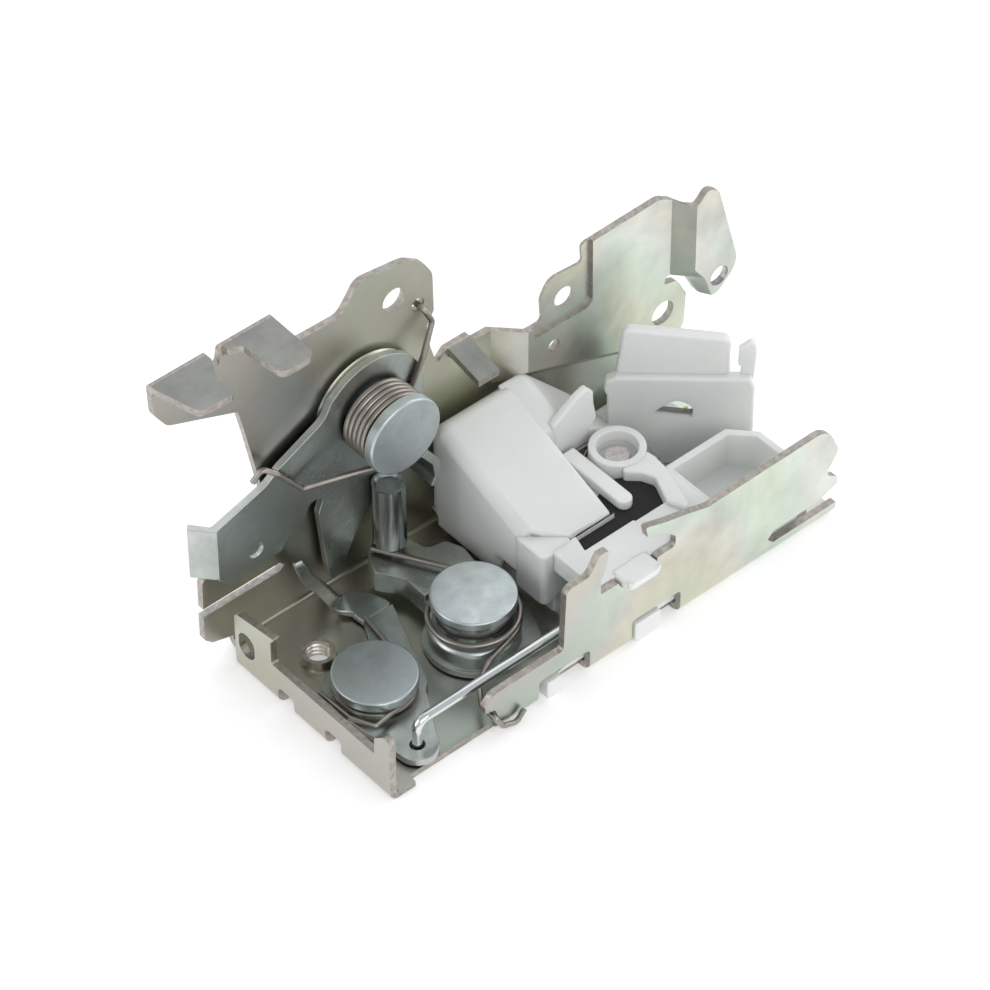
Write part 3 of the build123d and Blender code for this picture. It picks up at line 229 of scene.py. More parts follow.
def build_grain():
    """Fine isotropic grain with sparse specks pressed into it, as a height."""
    group, take, give = make_group("surface_grain", [
        ("Vector", "vector", None), ("Size", "number", 1500.0), ("Specks", "number", 600.0)],
        [("Height", "number")])
    noise = put(group, "TexNoise", {"Vector": take.outputs["Vector"], "Scale": take.outputs["Size"],
                                    "Detail": 3.0})
    cells = put(group, "TexVoronoi", {"Vector": take.outputs["Vector"], "Scale": take.outputs["Specks"]})
    specks = put(group, "MapRange", {"Value": cells.outputs["Distance"], "From Min": 0.06, "From Max": 0.14,
                                     "To Min": 1.0, "To Max": 0.0})
    group.links.new(math_node(group, "MULTIPLY_ADD", specks.outputs[0], -0.5, noise.outputs["Fac"]),
                    give.inputs["Height"])
    return group


cloud, film, marks, grain = build_cloud(), build_film(), build_marks(), build_grain()


# Materials

def begin(name, **constants):
    """A material with one Principled shader, its constant values set on the shader's own sockets."""
    material = bpy.data.materials.new(name)
    material.use_nodes = True
    tree = material.node_tree
    shader = tree.nodes["Principled BSDF"]
    for key, value in constants.items():
        shader.inputs[key.replace("_", " ")].default_value = value
    place = put(tree, "TexCoord").outputs["Object"]
    return material, tree, shader, place


def use_group(tree, group, **inputs):
    """Places a node group and fills its inputs."""
    node = tree.nodes.new("ShaderNodeGroup")
    node.node_tree = group
    for key, value in inputs.items():
        socket = node.inputs[key.replace("_", " ")]
        if isinstance(value, bpy.types.NodeSocket):
            tree.links.new(value, socket)
        else:
            socket.default_value = value
    return node


def bump(tree, shader, height, strength, distance):
    """Feeds a height to the shader's normal."""
    node = put(tree, "Bump", {"Height": height, "Strength": strength, "Distance": distance})
    tree.links.new(node.outputs[0], shader.inputs["Normal"])


drift_from, drift_to = 0.005, 0.062


def plated(name, colour, second, size, roughness, spread, film_strength, film_size, bands=2.0,
           stretch=(1, 1, 1), line_size=1200.0, depth=0.00002, strength=0.25, far=None):
    """Plated sheet: cloudy bloom, a wandering passivation film and faint rolling lines. far is the colour
    that the plating drifts to along the tray."""
    material, tree, shader, place = begin(name, Metallic=1.0)
    first = (*colour, 1)
    if far:
        along = put(tree, "SeparateXYZ", {"Vector": place}).outputs["X"]
        drift = put(tree, "MapRange", {"Value": along, "From Min": drift_from, "From Max": drift_to},
                    interpolation_type="SMOOTHSTEP").outputs[0]
        first = blend_colours(tree, drift, first, (*far, 1))
    bloom = use_group(tree, cloud, Vector=place, Colour=first, Second_Colour=(*second, 1), Size=size,
                      Roughness=roughness, Roughness_Spread=spread)
    tinted = use_group(tree, film, Vector=place, Colour=bloom.outputs["Colour"], Strength=film_strength,
                       Size=film_size, Bands=bands)
    lines = use_group(tree, marks, Vector=place, Stretch=stretch, Size=line_size)
    tree.links.new(tinted.outputs["Colour"], shader.inputs["Base Color"])
    tree.links.new(bloom.outputs["Roughness"], shader.inputs["Roughness"])
    bump(tree, shader, lines.outputs["Height"], strength, depth)
    return material


def moulded(name, colour, second, roughness, scatter, reach, grain_size=2500.0, depth=0.00001, strength=0.15):
    """Moulded plastic: faint cloudiness, light that scatters inside, and a fine grain."""
    material, tree, shader, place = begin(name, Subsurface_Weight=scatter, Subsurface_Scale=reach, IOR=1.53,
                                          Subsurface_Radius=(1.0, 0.95, 0.85))
    haze = use_group(tree, cloud, Vector=place, Colour=(*colour, 1), Second_Colour=(*second, 1), Size=90.0,
                     Roughness=roughness, Roughness_Spread=0.10)
    texture = use_group(tree, grain, Vector=place, Size=grain_size, Specks=500.0)
    tree.links.new(haze.outputs["Colour"], shader.inputs["Base Color"])
    tree.links.new(haze.outputs["Roughness"], shader.inputs["Roughness"])
    bump(tree, shader, texture.outputs["Height"], strength, depth)
    return material


sheet_plating = plated(
    "bracket_plating", (0.44, 0.445, 0.40), (0.50, 0.50, 0.45), size=45.0, roughness=0.34, spread=0.10,
    film_strength=0.55, film_size=20.0, bands=2.5, stretch=(1.0, 0.2, 0.2), line_size=1800.0,
    far=(0.86, 0.88, 0.77))
# Painted shade: a darker copy of the bracket plating, put on the bracket's high upward faces.
shaded_top_plating = plated(
    "shaded_top_plating", (0.31, 0.315, 0.295), (0.24, 0.245, 0.23), size=160.0, roughness=0.42, spread=0.16,
    film_strength=0.10, film_size=40.0, stretch=(0.3, 1.0, 1.0), line_size=1300.0, depth=0.00004,
    strength=0.45)
lever_zinc = plated(
    "lever_zinc", (0.60, 0.635, 0.61), (0.36, 0.39, 0.38), size=150.0, roughness=0.31, spread=0.18,
    film_strength=0.20, film_size=60.0, stretch=(1.0, 1.0, 0.6), line_size=1300.0, depth=0.00004,
    strength=0.50)
rivet_zinc = plated(
    "rivet_zinc", (0.62, 0.68, 0.70), (0.46, 0.51, 0.53), size=260.0, roughness=0.36, spread=0.18,
    film_strength=0.25, film_size=80.0, stretch=(0.35, 1.0, 1.0), line_size=1700.0, depth=0.00003,
    strength=0.50)
pin_end = plated(
    "pin_end", (0.84, 0.80, 0.81), (0.50, 0.47, 0.49), size=1400.0, roughness=0.48, spread=0.20,
    film_strength=0.30, film_size=200.0, line_size=2500.0, depth=0.00006, strength=0.8)
across_sheet = {"upward": (1, 1, 0.05), "inward": (1, 0.05, 1), "sideways": (0.05, 1, 1)}
sheared = {way: plated(
    "sheared_" + way, (0.56, 0.52, 0.49), (0.27, 0.25, 0.235), size=900.0, roughness=0.40, spread=0.15,
    film_strength=0.35, film_size=60.0, stretch=across_sheet[way], line_size=1300.0, depth=0.00016,
    strength=1.0)
    for way in ("upward", "inward", "sideways")}
sheared_zinc = {way: plated(
    "sheared_zinc_" + way, (0.60, 0.62, 0.61), (0.44, 0.46, 0.46), size=300.0, roughness=0.34, spread=0.15,
    film_strength=0.15, film_size=60.0, stretch=across_sheet[way], line_size=1300.0, depth=0.00012,
    strength=0.9)
    for way in ("upward", "inward")}
thread_steel = plated(
    "thread_steel", (0.74, 0.70, 0.66), (0.60, 0.56, 0.52), size=300.0, roughness=0.24, spread=0.10,
    film_strength=0.25, film_size=90.0)
spring_steel = plated(
    "spring_steel", (0.40, 0.365, 0.34), (0.29, 0.265, 0.245), size=300.0, roughness=0.32, spread=0.12,
    film_strength=0.15, film_size=120.0)
rod_zinc = plated(
    "rod_zinc", (0.80, 0.83, 0.83), (0.64, 0.68, 0.69), size=200.0, roughness=0.18, spread=0.10,
    film_strength=0.15, film_size=80.0)
pin_steel = plated(
    "pin_steel", (0.46, 0.485, 0.49), (0.34, 0.36, 0.37), size=200.0, roughness=0.22, spread=0.10,
    film_strength=0.10, film_size=80.0, stretch=(1.0, 1.0, 0.08), line_size=900.0)
can_steel = plated(
    "can_steel", (0.58, 0.58, 0.57), (0.48, 0.48, 0.47), size=150.0, roughness=0.30, spread=0.10,
    film_strength=0.10, film_size=60.0)
brass = plated(
    "brass", (0.80, 0.60, 0.30), (0.66, 0.47, 0.22), size=250.0, roughness=0.26, spread=0.12,
    film_strength=0.10, film_size=60.0)
nylon = moulded("natural_nylon", (0.80, 0.815, 0.80), (0.75, 0.765, 0.75), roughness=0.36, scatter=0.45,
                reach=0.0025)
acetal = moulded("acetal", (0.84, 0.85, 0.84), (0.80, 0.81, 0.80), roughness=0.32, scatter=0.35, reach=0.002)
foam = moulded("black_foam", (0.012, 0.012, 0.013), (0.022, 0.022, 0.024), roughness=0.90, scatter=0.0,
               reach=0.001, grain_size=1800.0, depth=0.00008, strength=0.6)

finishes = (
    (rivet_zinc, ("link_pivot_rivet", "lockout_pivot_rivet", "release_pivot_rivet")),
    (pin_end, ("lock_pivot_pin",)),
    (spring_steel, ("link_spring", "lockout_spring", "release_spring", "lock_spring")),
    (rod_zinc, ("link_rod", "rod_retainer")),
    (pin_steel, ("transfer_pin", "lockout_bush", "release_bush")),
    (acetal, ("worm_wheel",)),
    (can_steel, ("motor",)),
    (brass, ("motor_shaft_worm", "worm_end_bearing", "connector_pins")))
for material, names in finishes:
    for slot in (slot for name in names for slot in nodes[name].material_slots):
        slot.material = material


# Shapes worked out as grids, in millimetres

upright = np.eye(3)
along_x = np.array([[0, 1, 0], [0, 0, 1], [1, 0, 0]], float)
along_front = np.array([[1, 0, 0], [0, 0, 1], [0, -1, 0]], float)


def grid_faces(rows, columns):
    """Quads between the neighbouring rows of a grid of points. The last column is joined to the first."""
    row, column = np.meshgrid(np.arange(rows - 1), np.arange(columns), indexing="ij")
    beside = (column + 1) % columns
    first, second = row * columns, (row + 1) * columns
    quads = np.stack([first + column, first + beside, second + beside, second + column], -1)
    return quads.reshape(-1, 4).tolist()


def inset_rings(corners, insets, steps):
    """The outline at each inset. Every corner (x, y, radius) becomes an arc about a centre on the corner's
    bisector. Moving inwards shortens an outward arc and lengthens an inward one, and an arc that is used up
    goes on along the bisector."""
    table = np.array(corners, float)
    here, radius = table[:, :2], table[:, 2]
    before = here - np.roll(here, 1, 0)
    after = np.roll(here, -1, 0) - here
    before /= np.linalg.norm(before, axis=1, keepdims=True)
    after /= np.linalg.norm(after, axis=1, keepdims=True)
    turn = np.arctan2(before[:, 0] * after[:, 1] - before[:, 1] * after[:, 0], (before * after).sum(1))
    side = np.where(turn < 0, -1.0, 1.0)
    left = np.stack([-before[:, 1], before[:, 0]], 1)
    centre = here - before * (radius * np.abs(np.tan(turn / 2)))[:, None] + left * (side * radius)[:, None]
    start = np.arctan2(-left[:, 1] * side, -left[:, 0] * side)
    angle = start[:, None] + turn[:, None] * np.linspace(0, 1, steps)
    spoke = np.stack([np.cos(angle), np.sin(angle)], -1)
    inward = -(spoke[:, 0] + spoke[:, -1])
    inward /= np.linalg.norm(inward, axis=1, keepdims=True)
    left_over = radius[None] - side[None] * np.asarray(insets, float)[:, None]
    spent = np.maximum(-left_over, 0) / np.cos(turn / 2)
    ring = (centre[None, :, None] + np.maximum(left_over, 0)[..., None, None] * spoke[None]
            + (spent[..., None] * inward[None])[:, :, None])
    return ring.reshape(len(insets), -1, 2)


def soft_block(corners, low, high, low_round, high_round, axes=upright, origin=(0, 0, 0), steps=7):
    """A block on a rounded outline: rings of the outline climb a quarter circle, the wall and another quarter
    circle, each moved inwards as far as its circle says, and flat ends close it. axes turns it into place."""
    angle = np.linspace(0, math.pi / 2, steps)
    inset = np.concatenate([low_round * (1 - np.sin(angle)), high_round * (1 - np.cos(angle))])
    height = np.concatenate([low + low_round * (1 - np.cos(angle)), high - high_round * (1 - np.sin(angle))])
    rings = inset_rings(corners, inset, steps)
    rows, columns = rings.shape[:2]
    lifted = np.concatenate([rings, np.repeat(height[:, None, None], columns, 1)], -1).reshape(-1, 3)
    ends = [list(range(columns))[::-1], list(range((rows - 1) * columns, rows * columns))]
    placed = lifted @ np.asarray(axes, float) + np.asarray(origin, float)
    return placed, grid_faces(rows, columns) + ends


def smooth_path(stations, count):
    """A curve through stations of any width: between two stations each value is the cubic that leaves and
    arrives with half the step between its neighbours."""
    table = np.array(stations, float)
    ends = np.concatenate([2 * table[:1] - table[1:2], table, 2 * table[-1:] - table[-2:-1]])
    place = np.linspace(0, len(table) - 1 - 1e-9, count)
    k, t = place.astype(int), (place % 1)[:, None]
    a, b, c, d = ends[k], ends[k + 1], ends[k + 2], ends[k + 3]
    squared, cubed = (2 * a - 5 * b + 4 * c - d) * t ** 2, (3 * b - a - 3 * c + d) * t ** 3
    return 0.5 * (2 * b + (c - a) * t + squared + cubed)


def strip(stations, thick, count=70, around=32, side_round=0.35, end_rows=3.0, end_shrink=0.25):
    """A bent strip of sheet along stations (x, y, z, half width, twist in degrees): a rounded rectangle is
    carried along the curve, lying flat at twist 0 and standing on edge at 90. It shrinks over its end rows,
    and flat ends close it."""
    table = smooth_path(stations, count)
    middle, half, twist = table[:, :3], table[:, 3], np.radians(table[:, 4])
    ahead = np.gradient(middle, axis=0)
    ahead /= np.linalg.norm(ahead, axis=1, keepdims=True)
    across = np.cross(ahead, (0, 0, 1))
    across /= np.linalg.norm(across, axis=1, keepdims=True)
    over = np.cross(across, ahead)
    wide = across * np.cos(twist)[:, None] + over * np.sin(twist)[:, None]
    flat = np.cross(wide, ahead)
    angle = np.linspace(0, 2 * math.pi, around, endpoint=False) + math.pi / around
    corner = np.stack([np.sign(np.cos(angle)), np.sign(np.sin(angle))], 1)
    arc = np.stack([np.cos(angle), np.sin(angle)], 1)
    inside = np.clip(np.minimum(np.arange(count), np.arange(count)[::-1]) / end_rows, 0, 1)
    scale = 1 - end_shrink * (1 - inside) ** 2
    u = corner[None, :, 0] * (half[:, None] - side_round) + arc[None, :, 0] * side_round
    v = corner[None, :, 1] * (thick / 2 - side_round) + arc[None, :, 1] * side_round
    points = (middle[:, None] + (u * scale[:, None])[..., None] * wide[:, None]
              + (v * scale[:, None])[..., None] * flat[:, None])
    ends = [list(range(around))[::-1], list(range((count - 1) * around, count * around))]
    return points.reshape(-1, 3), grid_faces(count, around) + ends


def thread_sleeve(radius, wall, depth, pitch, low, high, around=72, rows=90, crest=1.25, flank=3.4,
                  run_out=0.5):
    """A thin sleeve with a thread inside: its inner radius falls by depth at the thread's crest, which climbs
    one pitch a turn, and rises with the distance from it as flank says. The thread fades in and out over
    run_out at the ends. The outer radius is plain."""
    angle = np.linspace(0, 2 * math.pi, around, endpoint=False)
    height = np.linspace(low, high, rows)
    turn, level = np.meshgrid(angle, height)
    phase = (level / pitch - turn / (2 * math.pi)) % 1
    fade = np.clip(np.minimum(level - low, high - level) / run_out, 0, 1)
    inner = radius - depth * fade * np.clip(crest - np.abs(phase - 0.5) * flank, 0, 1)
    inside = np.stack([inner * np.cos(turn), inner * np.sin(turn), level], -1)
    outside = np.stack([(radius + wall) * np.cos(turn), (radius + wall) * np.sin(turn), level], -1)[::-1]
    points = np.concatenate([inside, outside]).reshape(-1, 3)
    loop = grid_faces(2 * rows + 1, around)
    total = 2 * rows * around
    return points, [[p % total for p in face[::-1]] for face in loop]


def rectangle(left, low, right, high, radius):
    """A rectangle's corners (x, y, radius). radius is one number, or four from the lower left round."""
    radii = np.broadcast_to(radius, 4)
    return [(left, low, radii[0]), (right, low, radii[1]), (right, high, radii[2]), (left, high, radii[3])]


# Pieces, with distances in metres below which points are one and an edge has no length

same_point, same_corner, no_length = 2e-6, 3e-6, 1e-7
flat_within, rounded_from = math.radians(0.3), math.radians(33)


def new_piece(name, shapes, material, body):
    """One mesh object from shapes of points and faces in millimetres. Doubled points are merged."""
    mesh = bpy.data.meshes.new(name)
    points, faces, before = [], [], 0
    for own_points, own_faces in shapes:
        points.append(np.asarray(own_points) * mm)
        faces += [[p + before for p in face] for face in own_faces]
        before += len(own_points)
    mesh.from_pydata(np.concatenate(points).tolist(), [], faces)
    loose = bmesh.new()
    loose.from_mesh(mesh)
    bmesh.ops.remove_doubles(loose, verts=loose.verts, dist=same_point)
    bmesh.ops.dissolve_degenerate(loose, edges=loose.edges, dist=no_length)
    bmesh.ops.recalc_face_normals(loose, faces=loose.faces)
    loose.to_mesh(mesh)
    loose.free()
    return settle(mesh, name, [material], body)


def settle(mesh, name, materials, body):
    """Puts a finished mesh into the scene with smooth shading."""
    mesh.polygons.foreach_set("use_smooth", np.ones(len(mesh.polygons), bool))
    for material in materials:
        mesh.materials.append(material)
    piece = bpy.data.objects.new(name, mesh)
    bpy.context.scene.collection.objects.link(piece)
    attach(piece, body)
    return piece


def keep_flat(piece):
    """Lets the large faces lead the shading at their borders."""
    weights = piece.modifiers.new("flat_faces_lead", "WEIGHTED_NORMAL")
    weights.weight = 80


def cut_away(piece, shape):
    """Takes a closed shape out of a piece and keeps the result as its mesh."""
    mesh = bpy.data.meshes.new("cutter")
    mesh.from_pydata((np.asarray(shape[0]) * mm).tolist(), [], shape[1])
    cutter = bpy.data.objects.new("cutter", mesh)
    bpy.context.scene.collection.objects.link(cutter)
    cut = piece.modifiers.new("cut", "BOOLEAN")
    cut.operation, cut.solver, cut.object = "DIFFERENCE", "EXACT", cutter
    bpy.context.view_layer.update()
    result = bpy.data.meshes.new_from_object(piece.evaluated_get(bpy.context.evaluated_depsgraph_get()))
    piece.modifiers.clear()
    piece.data = result
    bpy.data.objects.remove(cutter)


def merged_copy(node):
    """The CAD node's mesh with its doubled corners merged, as an editable mesh."""
    shape = bmesh.new()
    shape.from_mesh(nodes[node].data)
    bmesh.ops.remove_doubles(shape, verts=shape.verts, dist=same_corner)
    bmesh.ops.dissolve_degenerate(shape, edges=shape.edges, dist=no_length)
    return shape


def keep_behind(shape, place, normal):
    """Cuts an editable mesh at a plane, drops what the normal points to and closes the cut."""
    everything = shape.verts[:] + shape.edges[:] + shape.faces[:]
    bmesh.ops.bisect_plane(shape, geom=everything, dist=no_length, plane_co=place, plane_no=normal,
                           clear_outer=True)
    bmesh.ops.holes_fill(shape, edges=[edge for edge in shape.edges if edge.is_boundary], sides=0)


def mark_cut_faces(shape, sheet, which):
    """Faces that look through clearly more metal than the sheet's thickness are where it was cut. Each gets
    the number that which gives for its middle."""
    tree = BVHTree.FromBMesh(shape)
    below_skin, clearly_more = 0.02 * mm, (sheet * 1.25 + 0.1) * mm
    for face in shape.faces:
        middle = face.calc_center_median()
        through = tree.ray_cast(middle - face.normal * below_skin, -face.normal)[3]
        if through is None or through > clearly_more:
            face.material_index = which(middle / mm)


def soften(node, shape, name, width, segments, materials, body, cuts=(), weld=0):
    """Makes the flat faces whole, rounds the edges by width, and lets the piece stand for the node. weld
    joins corners that are closer than it, and then no edge is rounded wider than its neighbours allow."""
    bmesh.ops.dissolve_limit(shape, angle_limit=flat_within, verts=shape.verts, edges=shape.edges,
                             delimit={"MATERIAL"})
    if weld:
        bmesh.ops.remove_doubles(shape, verts=shape.verts, dist=weld * mm)
        bmesh.ops.dissolve_degenerate(shape, edges=shape.edges, dist=no_length)
    mesh = bpy.data.meshes.new(name)
    shape.to_mesh(mesh)
    shape.free()
    piece = settle(mesh, name, materials, body)
    for cut in cuts:
        cut_away(piece, cut)
    edge = piece.modifiers.new("rounded_edges", "BEVEL")
    edge.width, edge.segments = width * mm, segments
    edge.limit_method, edge.angle_limit = "ANGLE", rounded_from
    edge.use_clamp_overlap = weld > 0
    edge.miter_outer = "MITER_ARC"
    keep_flat(piece)
    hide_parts(node)


# Sheet pieces: softened, with sheared edges where the sheet was cut

sheet_thick = 1.5
wall_inside, front_inside, left_inside = 11.5, -33.0, -22.0
shade_painted_above, shade_painted_upward, shade_painted_number = 22.0, 0.8, 4


def bracket_marks(middle):
    """The shear marks cross the sheet: along Y in the wall and front flange, X at the far left, else Z."""
    if middle.y > wall_inside or middle.y < front_inside:
        return 2
    return 3 if middle.x < left_inside else 1


def one_kind(_):
    """The shear marks all run one way."""
    return 1


shape = merged_copy("main_bracket")
mark_cut_faces(shape, sheet_thick, bracket_marks)
# Upward faces high on the bracket take the darker copy of the plating, as painted shade.
for face in shape.faces:
    high = face.calc_center_median().z > shade_painted_above * mm
    if face.material_index == 0 and face.normal.z > shade_painted_upward and high:
        face.material_index = shade_painted_number
soften("main_bracket", shape, "bracket_pressing", 0.16, 2,
       [sheet_plating, sheared["upward"], sheared["inward"], sheared["sideways"], shaded_top_plating], "frame",
       weld=0.15)

for node, body, name, way in (
        ("release_lever", "release", "release_lever_pressing", "inward"),
        ("lockout_lever", "lockout", "lockout_lever_pressing", "upward")):
    shape = merged_copy(node)
    mark_cut_faces(shape, sheet_thick, one_kind)
    soften(node, shape, name, 0.12, 2, [lever_zinc, sheared_zinc[way]], body)

finger_root = (0, 0.5 * mm, 0)
finger_thick = 1.4
finger_path = [
    (14.85, 0.3, 2.65, 3.55, 0), (14.7, 2.0, 2.65, 3.55, 0), (14.2, 3.8, 2.7, 3.4, 0),
    (13.0, 5.4, 2.9, 3.0, 2), (11.4, 6.2, 3.3, 2.2, 12), (10.0, 6.6, 4.4, 1.6, 50),
    (8.9, 7.3, 6.2, 1.35, 80), (7.8, 7.9, 8.3, 1.3, 90), (6.4, 8.4, 10.5, 1.3, 90),
    (4.9, 8.7, 12.9, 1.25, 90), (3.8, 9.0, 15.8, 1.15, 90), (3.0, 9.25, 18.6, 0.95, 90)]
shape = merged_copy("link_lever")
keep_behind(shape, finger_root, (0, 1, 0))
mark_cut_faces(shape, sheet_thick, one_kind)
soften("link_lever", shape, "link_lever_plate", 0.13, 2, [lever_zinc, sheared_zinc["upward"]], "link")
link_finger = new_piece("link_lever_finger", [strip(finger_path, finger_thick)], lever_zinc, "link")
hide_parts("link_lever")

new_piece("boss_thread", [thread_sleeve(radius=2.49, wall=0.03, depth=0.34, pitch=1.0, low=0.15, high=3.6)],
          thread_steel, "frame")


# Nylon housing

ring_x, ring_y, recess = 66.4, -8.6, 4.0
recess_outline = [(ring_x + recess * across, ring_y + recess * along, recess)
                  for across, along in ((1, 1), (-1, 1), (-1, -1), (1, -1))]
ring_recess = soft_block(recess_outline, low=16.6, high=25.0, low_round=0.2, high_round=0.2, steps=13)
for node, body, name, width, finish, slot_name, cuts in (
        ("housing_base", "frame", "housing_frame", 0.2, nylon, "natural_nylon", [ring_recess]),
        ("lock_lever", "lock", "lock_lever_moulding", 0.38, acetal, "acetal", []),
        ("foam_pad", "frame", "foam_buffer", 0.12, foam, "black_foam", [])):
    soften(node, merged_copy(node), name, width, 3, [finish], body, cuts)

pad_outline = [(60.9, -12.4, 0.2), (54.6, -14.9, 0.2), (54.6, -20.4, 0.2), (45.6, -20.4, 0.1),
               (44.7, -24.0, 0.15), (65.3, -24.0, 0.2), (67.0, -15.6, 0.3)]
foam_face = new_piece("foam_face", [soft_block(pad_outline, 17.62, 17.78, 0.05, 0.06)], foam, "frame")


def nylon_piece(name, *shapes):
    """A piece of the housing."""
    return new_piece(name, shapes, nylon, "frame")


strap_outline = [
    (62.0, -13.5, 0.8), (65.2, -16.5, 1.0), (66.4, -19.1, 1.5), (63.9, -25.1, 0.6), (65.6, -29.8, 0.6),
    (66.9, -27.7, 0.6), (69.9, -17.9, 1.5), (70.2, -14.9, 1.5), (69.8, -12.1, 0.6), (67.1, -13.1, 0.6)]
frame_blocks = [
    nylon_piece("housing_corner",
                soft_block(rectangle(37.0, -21.0, 44.4, -12.9, (1.2, 0.5, 0.5, 0.8)), 6.2, 19.2, 0.9, 0.5),
                soft_block(rectangle(39.7, -21.0, 44.4, -12.9, (0.6, 0.5, 0.5, 0.6)), 3.25, 7.5, 0.2, 0.3)),
    nylon_piece("housing_tongue",
                soft_block(rectangle(44.2, -36.6, 52.7, -31.4, (1.6, 1.6, 0.5, 0.5)), 17.2, 19.55, 0.9, 0.8)),
    nylon_piece("housing_strap", soft_block(strap_outline, 17.5, 20.2, 0.2, 0.5))]


# Cover over the drive

hump_outline = [
    (-20.0, 8.4, 0.6), (-8.4, 8.4, 0.8), (-7.2, 3.25, 0.3), (10.9, 3.25, 0.1), (10.9, 6.3, 0.1),
    (12.0, 6.3, 0.2), (12.0, 28.0, 2.5), (9.0, 31.0, 2.2), (-20.0, 19.2, 0.9)]
hump_hollow = [(-18.2, 2.0, 0.3), (10.3, 2.0, 0.3), (10.3, 26.2, 1.0), (8.8, 28.8, 1.5), (-18.2, 17.6, 0.5)]
cut_corner = [(30.0, -25.0, 0.1), (50.8, -25.0, 0.1), (30.0, -6.9, 0.1)]
shaft_window = rectangle(-3.2, 0.0, 3.4, 14.4, (0.3, 0.3, 0.6, 0.6))
cover_hump = nylon_piece("cover_hump", soft_block(hump_outline, 37.0, 54.7, 2.8, 0.8, along_x))
cut_away(cover_hump, soft_block(cut_corner, 5.0, 40.0, 0.1, 0.1))
cut_away(cover_hump, soft_block(hump_hollow, 38.9, 53.2, 0.5, 0.3, along_x))
cut_away(cover_hump, soft_block(shaft_window, 52.0, 56.0, 0.1, 0.1, along_x))


def lean(shape, eaves=13.6, rise=17.0, fall=0.42, back=10.0):
    """Lowers a block's top towards the front, more the higher a point is, so the roof falls from the wall."""
    points, faces = shape
    share = np.clip((points[:, 2] - eaves) / rise, 0, 1)
    points[:, 2] -= fall * (back - points[:, 1]) * share
    return points, faces


roof_outline = [
    (53.0, 3.25, 0.3), (74.0, 3.25, 0.3), (74.0, 13.6, 1.5), (69.8, 18.8, 3.0), (59.2, 30.6, 3.5),
    (53.0, 30.8, 0.4)]
roof_hollow = [
    (50.0, 2.0, 0.3), (72.8, 2.0, 0.3), (72.8, 13.2, 1.0), (68.5, 17.9, 2.5), (58.4, 29.0, 2.5),
    (50.0, 29.2, 0.4)]
fin_outline = [
    (57.0, 18.0, 0.5), (64.2, 15.0, 0.6), (65.6, 19.4, 1.5), (67.6, 22.2, 1.2), (66.8, 26.4, 1.5),
    (66.7, 29.2, 0.8), (65.0, 31.2, 0.8), (62.4, 30.3, 2.0), (56.3, 26.4, 1.0)]
front_opening = rectangle(54.9, 0.0, 80.0, 13.6, 0.3)
cover_roof = nylon_piece("cover_roof", lean(soft_block(roof_outline, -10.8, 1.5, 1.2, 0.9, along_front)))
cut_away(cover_roof, lean(soft_block(roof_hollow, -9.6, 0.2, 0.3, 0.3, along_front)))
cut_away(cover_roof, soft_block(front_opening, 0.0, 2.6, 0.1, 0.1, along_front))
cover_fin = nylon_piece("cover_fin", soft_block(fin_outline, 0.0, 1.6, 0.3, 0.6, along_front))
cover_pieces = [cover_hump, cover_roof, cover_fin]
for piece in cover_pieces:
    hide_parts("drive_cover")


# Connector block, whose outlines stand across its own turned frame

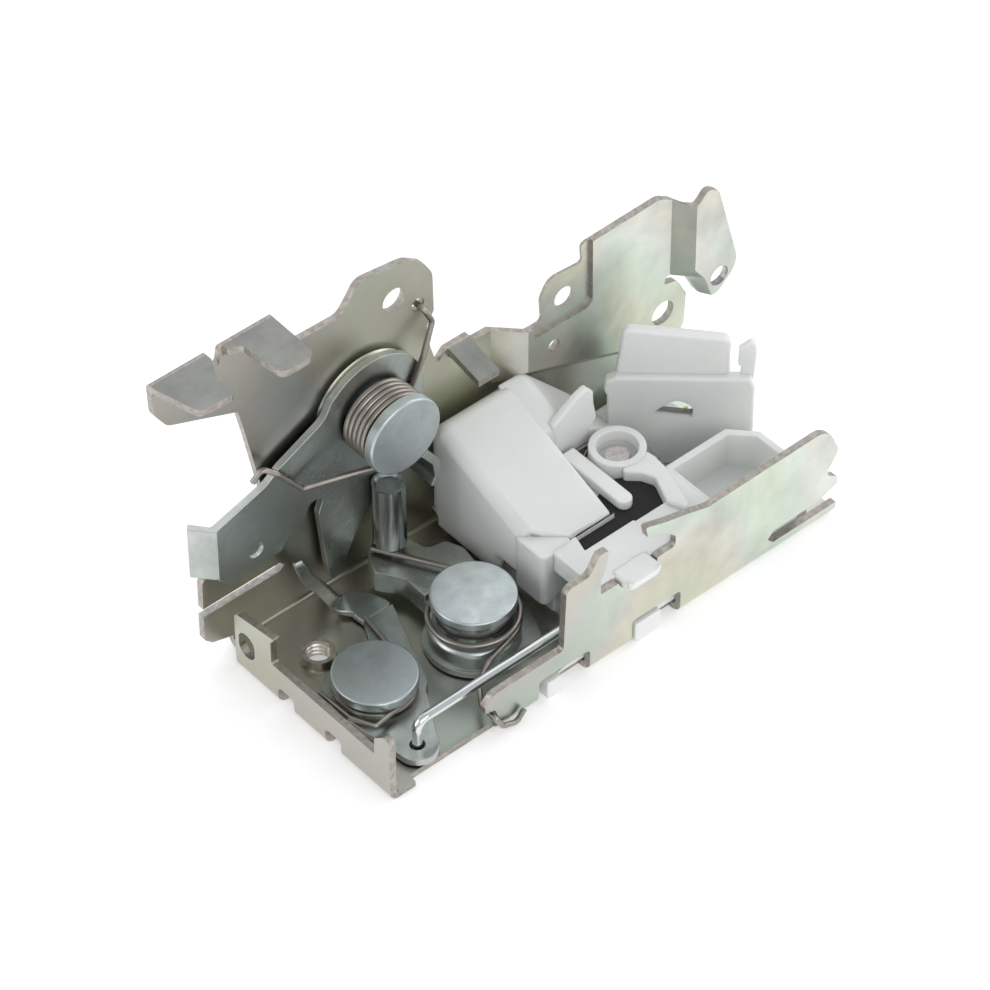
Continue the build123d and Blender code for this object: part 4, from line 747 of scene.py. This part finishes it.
turn = math.radians(-41.6)
turned = np.array([[math.cos(turn), math.sin(turn), 0], [0, 0, 1], [math.sin(turn), -math.cos(turn), 0]])
socket_place = (75.6, 0.4, 0)
socket_top = (0, 0, 25.5 * mm)
slot_outline = [(5.8, 16.9, 0.3), (13.5, 15.9, 0.4), (13.7, 19.0, 2.2), (10.2, 20.8, 2.5), (7.2, 18.4, 1.5)]
front_outline = [
    (-2.8, 3.3, 0.3), (25.2, 3.3, 0.3), (25.2, 23.6, 1.2), (24.4, 26.0, 0.7), (-1.2, 26.3, 1.0),
    (-3.3, 25.0, 1.2), (-3.4, 22.6, 1.0), (-2.8, 21.2, 1.5)]
plate_outline = [(-1.3, 25.4, 0.3), (20.2, 25.4, 0.3), (20.5, 35.0, 1.8), (0.1, 37.5, 1.6)]
hook_outline = [
    (22.3, 25.0, 0.3), (25.0, 25.0, 0.3), (25.4, 31.0, 0.6), (25.2, 33.4, 0.8), (24.4, 34.5, 0.6),
    (22.0, 32.3, 0.5), (21.9, 28.2, 0.4), (22.5, 27.9, 0.4)]


def turned_block(outline, low, high, low_round, high_round):
    """A soft block in the connector's frame."""
    return soft_block(outline, low, high, low_round, high_round, turned, socket_place)


socket_slot = turned_block(slot_outline, -3.2, 1.5, 0.05, 0.05)
shape = merged_copy("connector_block")
keep_behind(shape, socket_top, (0, 0, 1))
soften("connector_block", shape, "connector_socket", 0.3, 3, [nylon], "frame", [socket_slot])
socket_front = nylon_piece("connector_front", turned_block(front_outline, -1.9, 0.55, 0.3, 0.7))
cut_away(socket_front, socket_slot)
connector_plate = nylon_piece("connector_plate", turned_block(plate_outline, -3.2, -0.9, 0.6, 0.7),
                              turned_block(hook_outline, -2.6, -1.0, 0.35, 0.4))
for piece in (socket_front, connector_plate):
    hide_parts("connector_block")
for piece in (link_finger, foam_face, *frame_blocks, *cover_pieces, socket_front, connector_plate):
    keep_flat(piece)


# Floor

def lay_floor(half, height):
    """One flat square, worked out as the corners of a grid of two by two."""
    corner = np.array([-half, half])
    x, y = np.meshgrid(corner, corner)
    points = np.stack([x.ravel(), y.ravel(), np.full(4, height)], 1)
    mesh = bpy.data.meshes.new("floor")
    mesh.from_pydata(points.tolist(), [], [(0, 1, 3, 2)])
    floor = bpy.data.objects.new("floor", mesh)
    bpy.context.scene.collection.objects.link(floor)
    material, tree, shader, place = begin("floor_paper", Roughness=0.7, Emission_Color=(1, 1, 1, 1),
                                          Emission_Strength=0.28)
    haze = use_group(tree, cloud, Vector=place, Colour=(0.93, 0.93, 0.93, 1),
                     Second_Colour=(0.91, 0.91, 0.91, 1), Size=3.0, Roughness=0.7, Roughness_Spread=0.05)
    tree.links.new(haze.outputs["Colour"], shader.inputs["Base Color"])
    mesh.materials.append(material)


lay_floor(3.0, cad_box[0][2] - 0.00005)
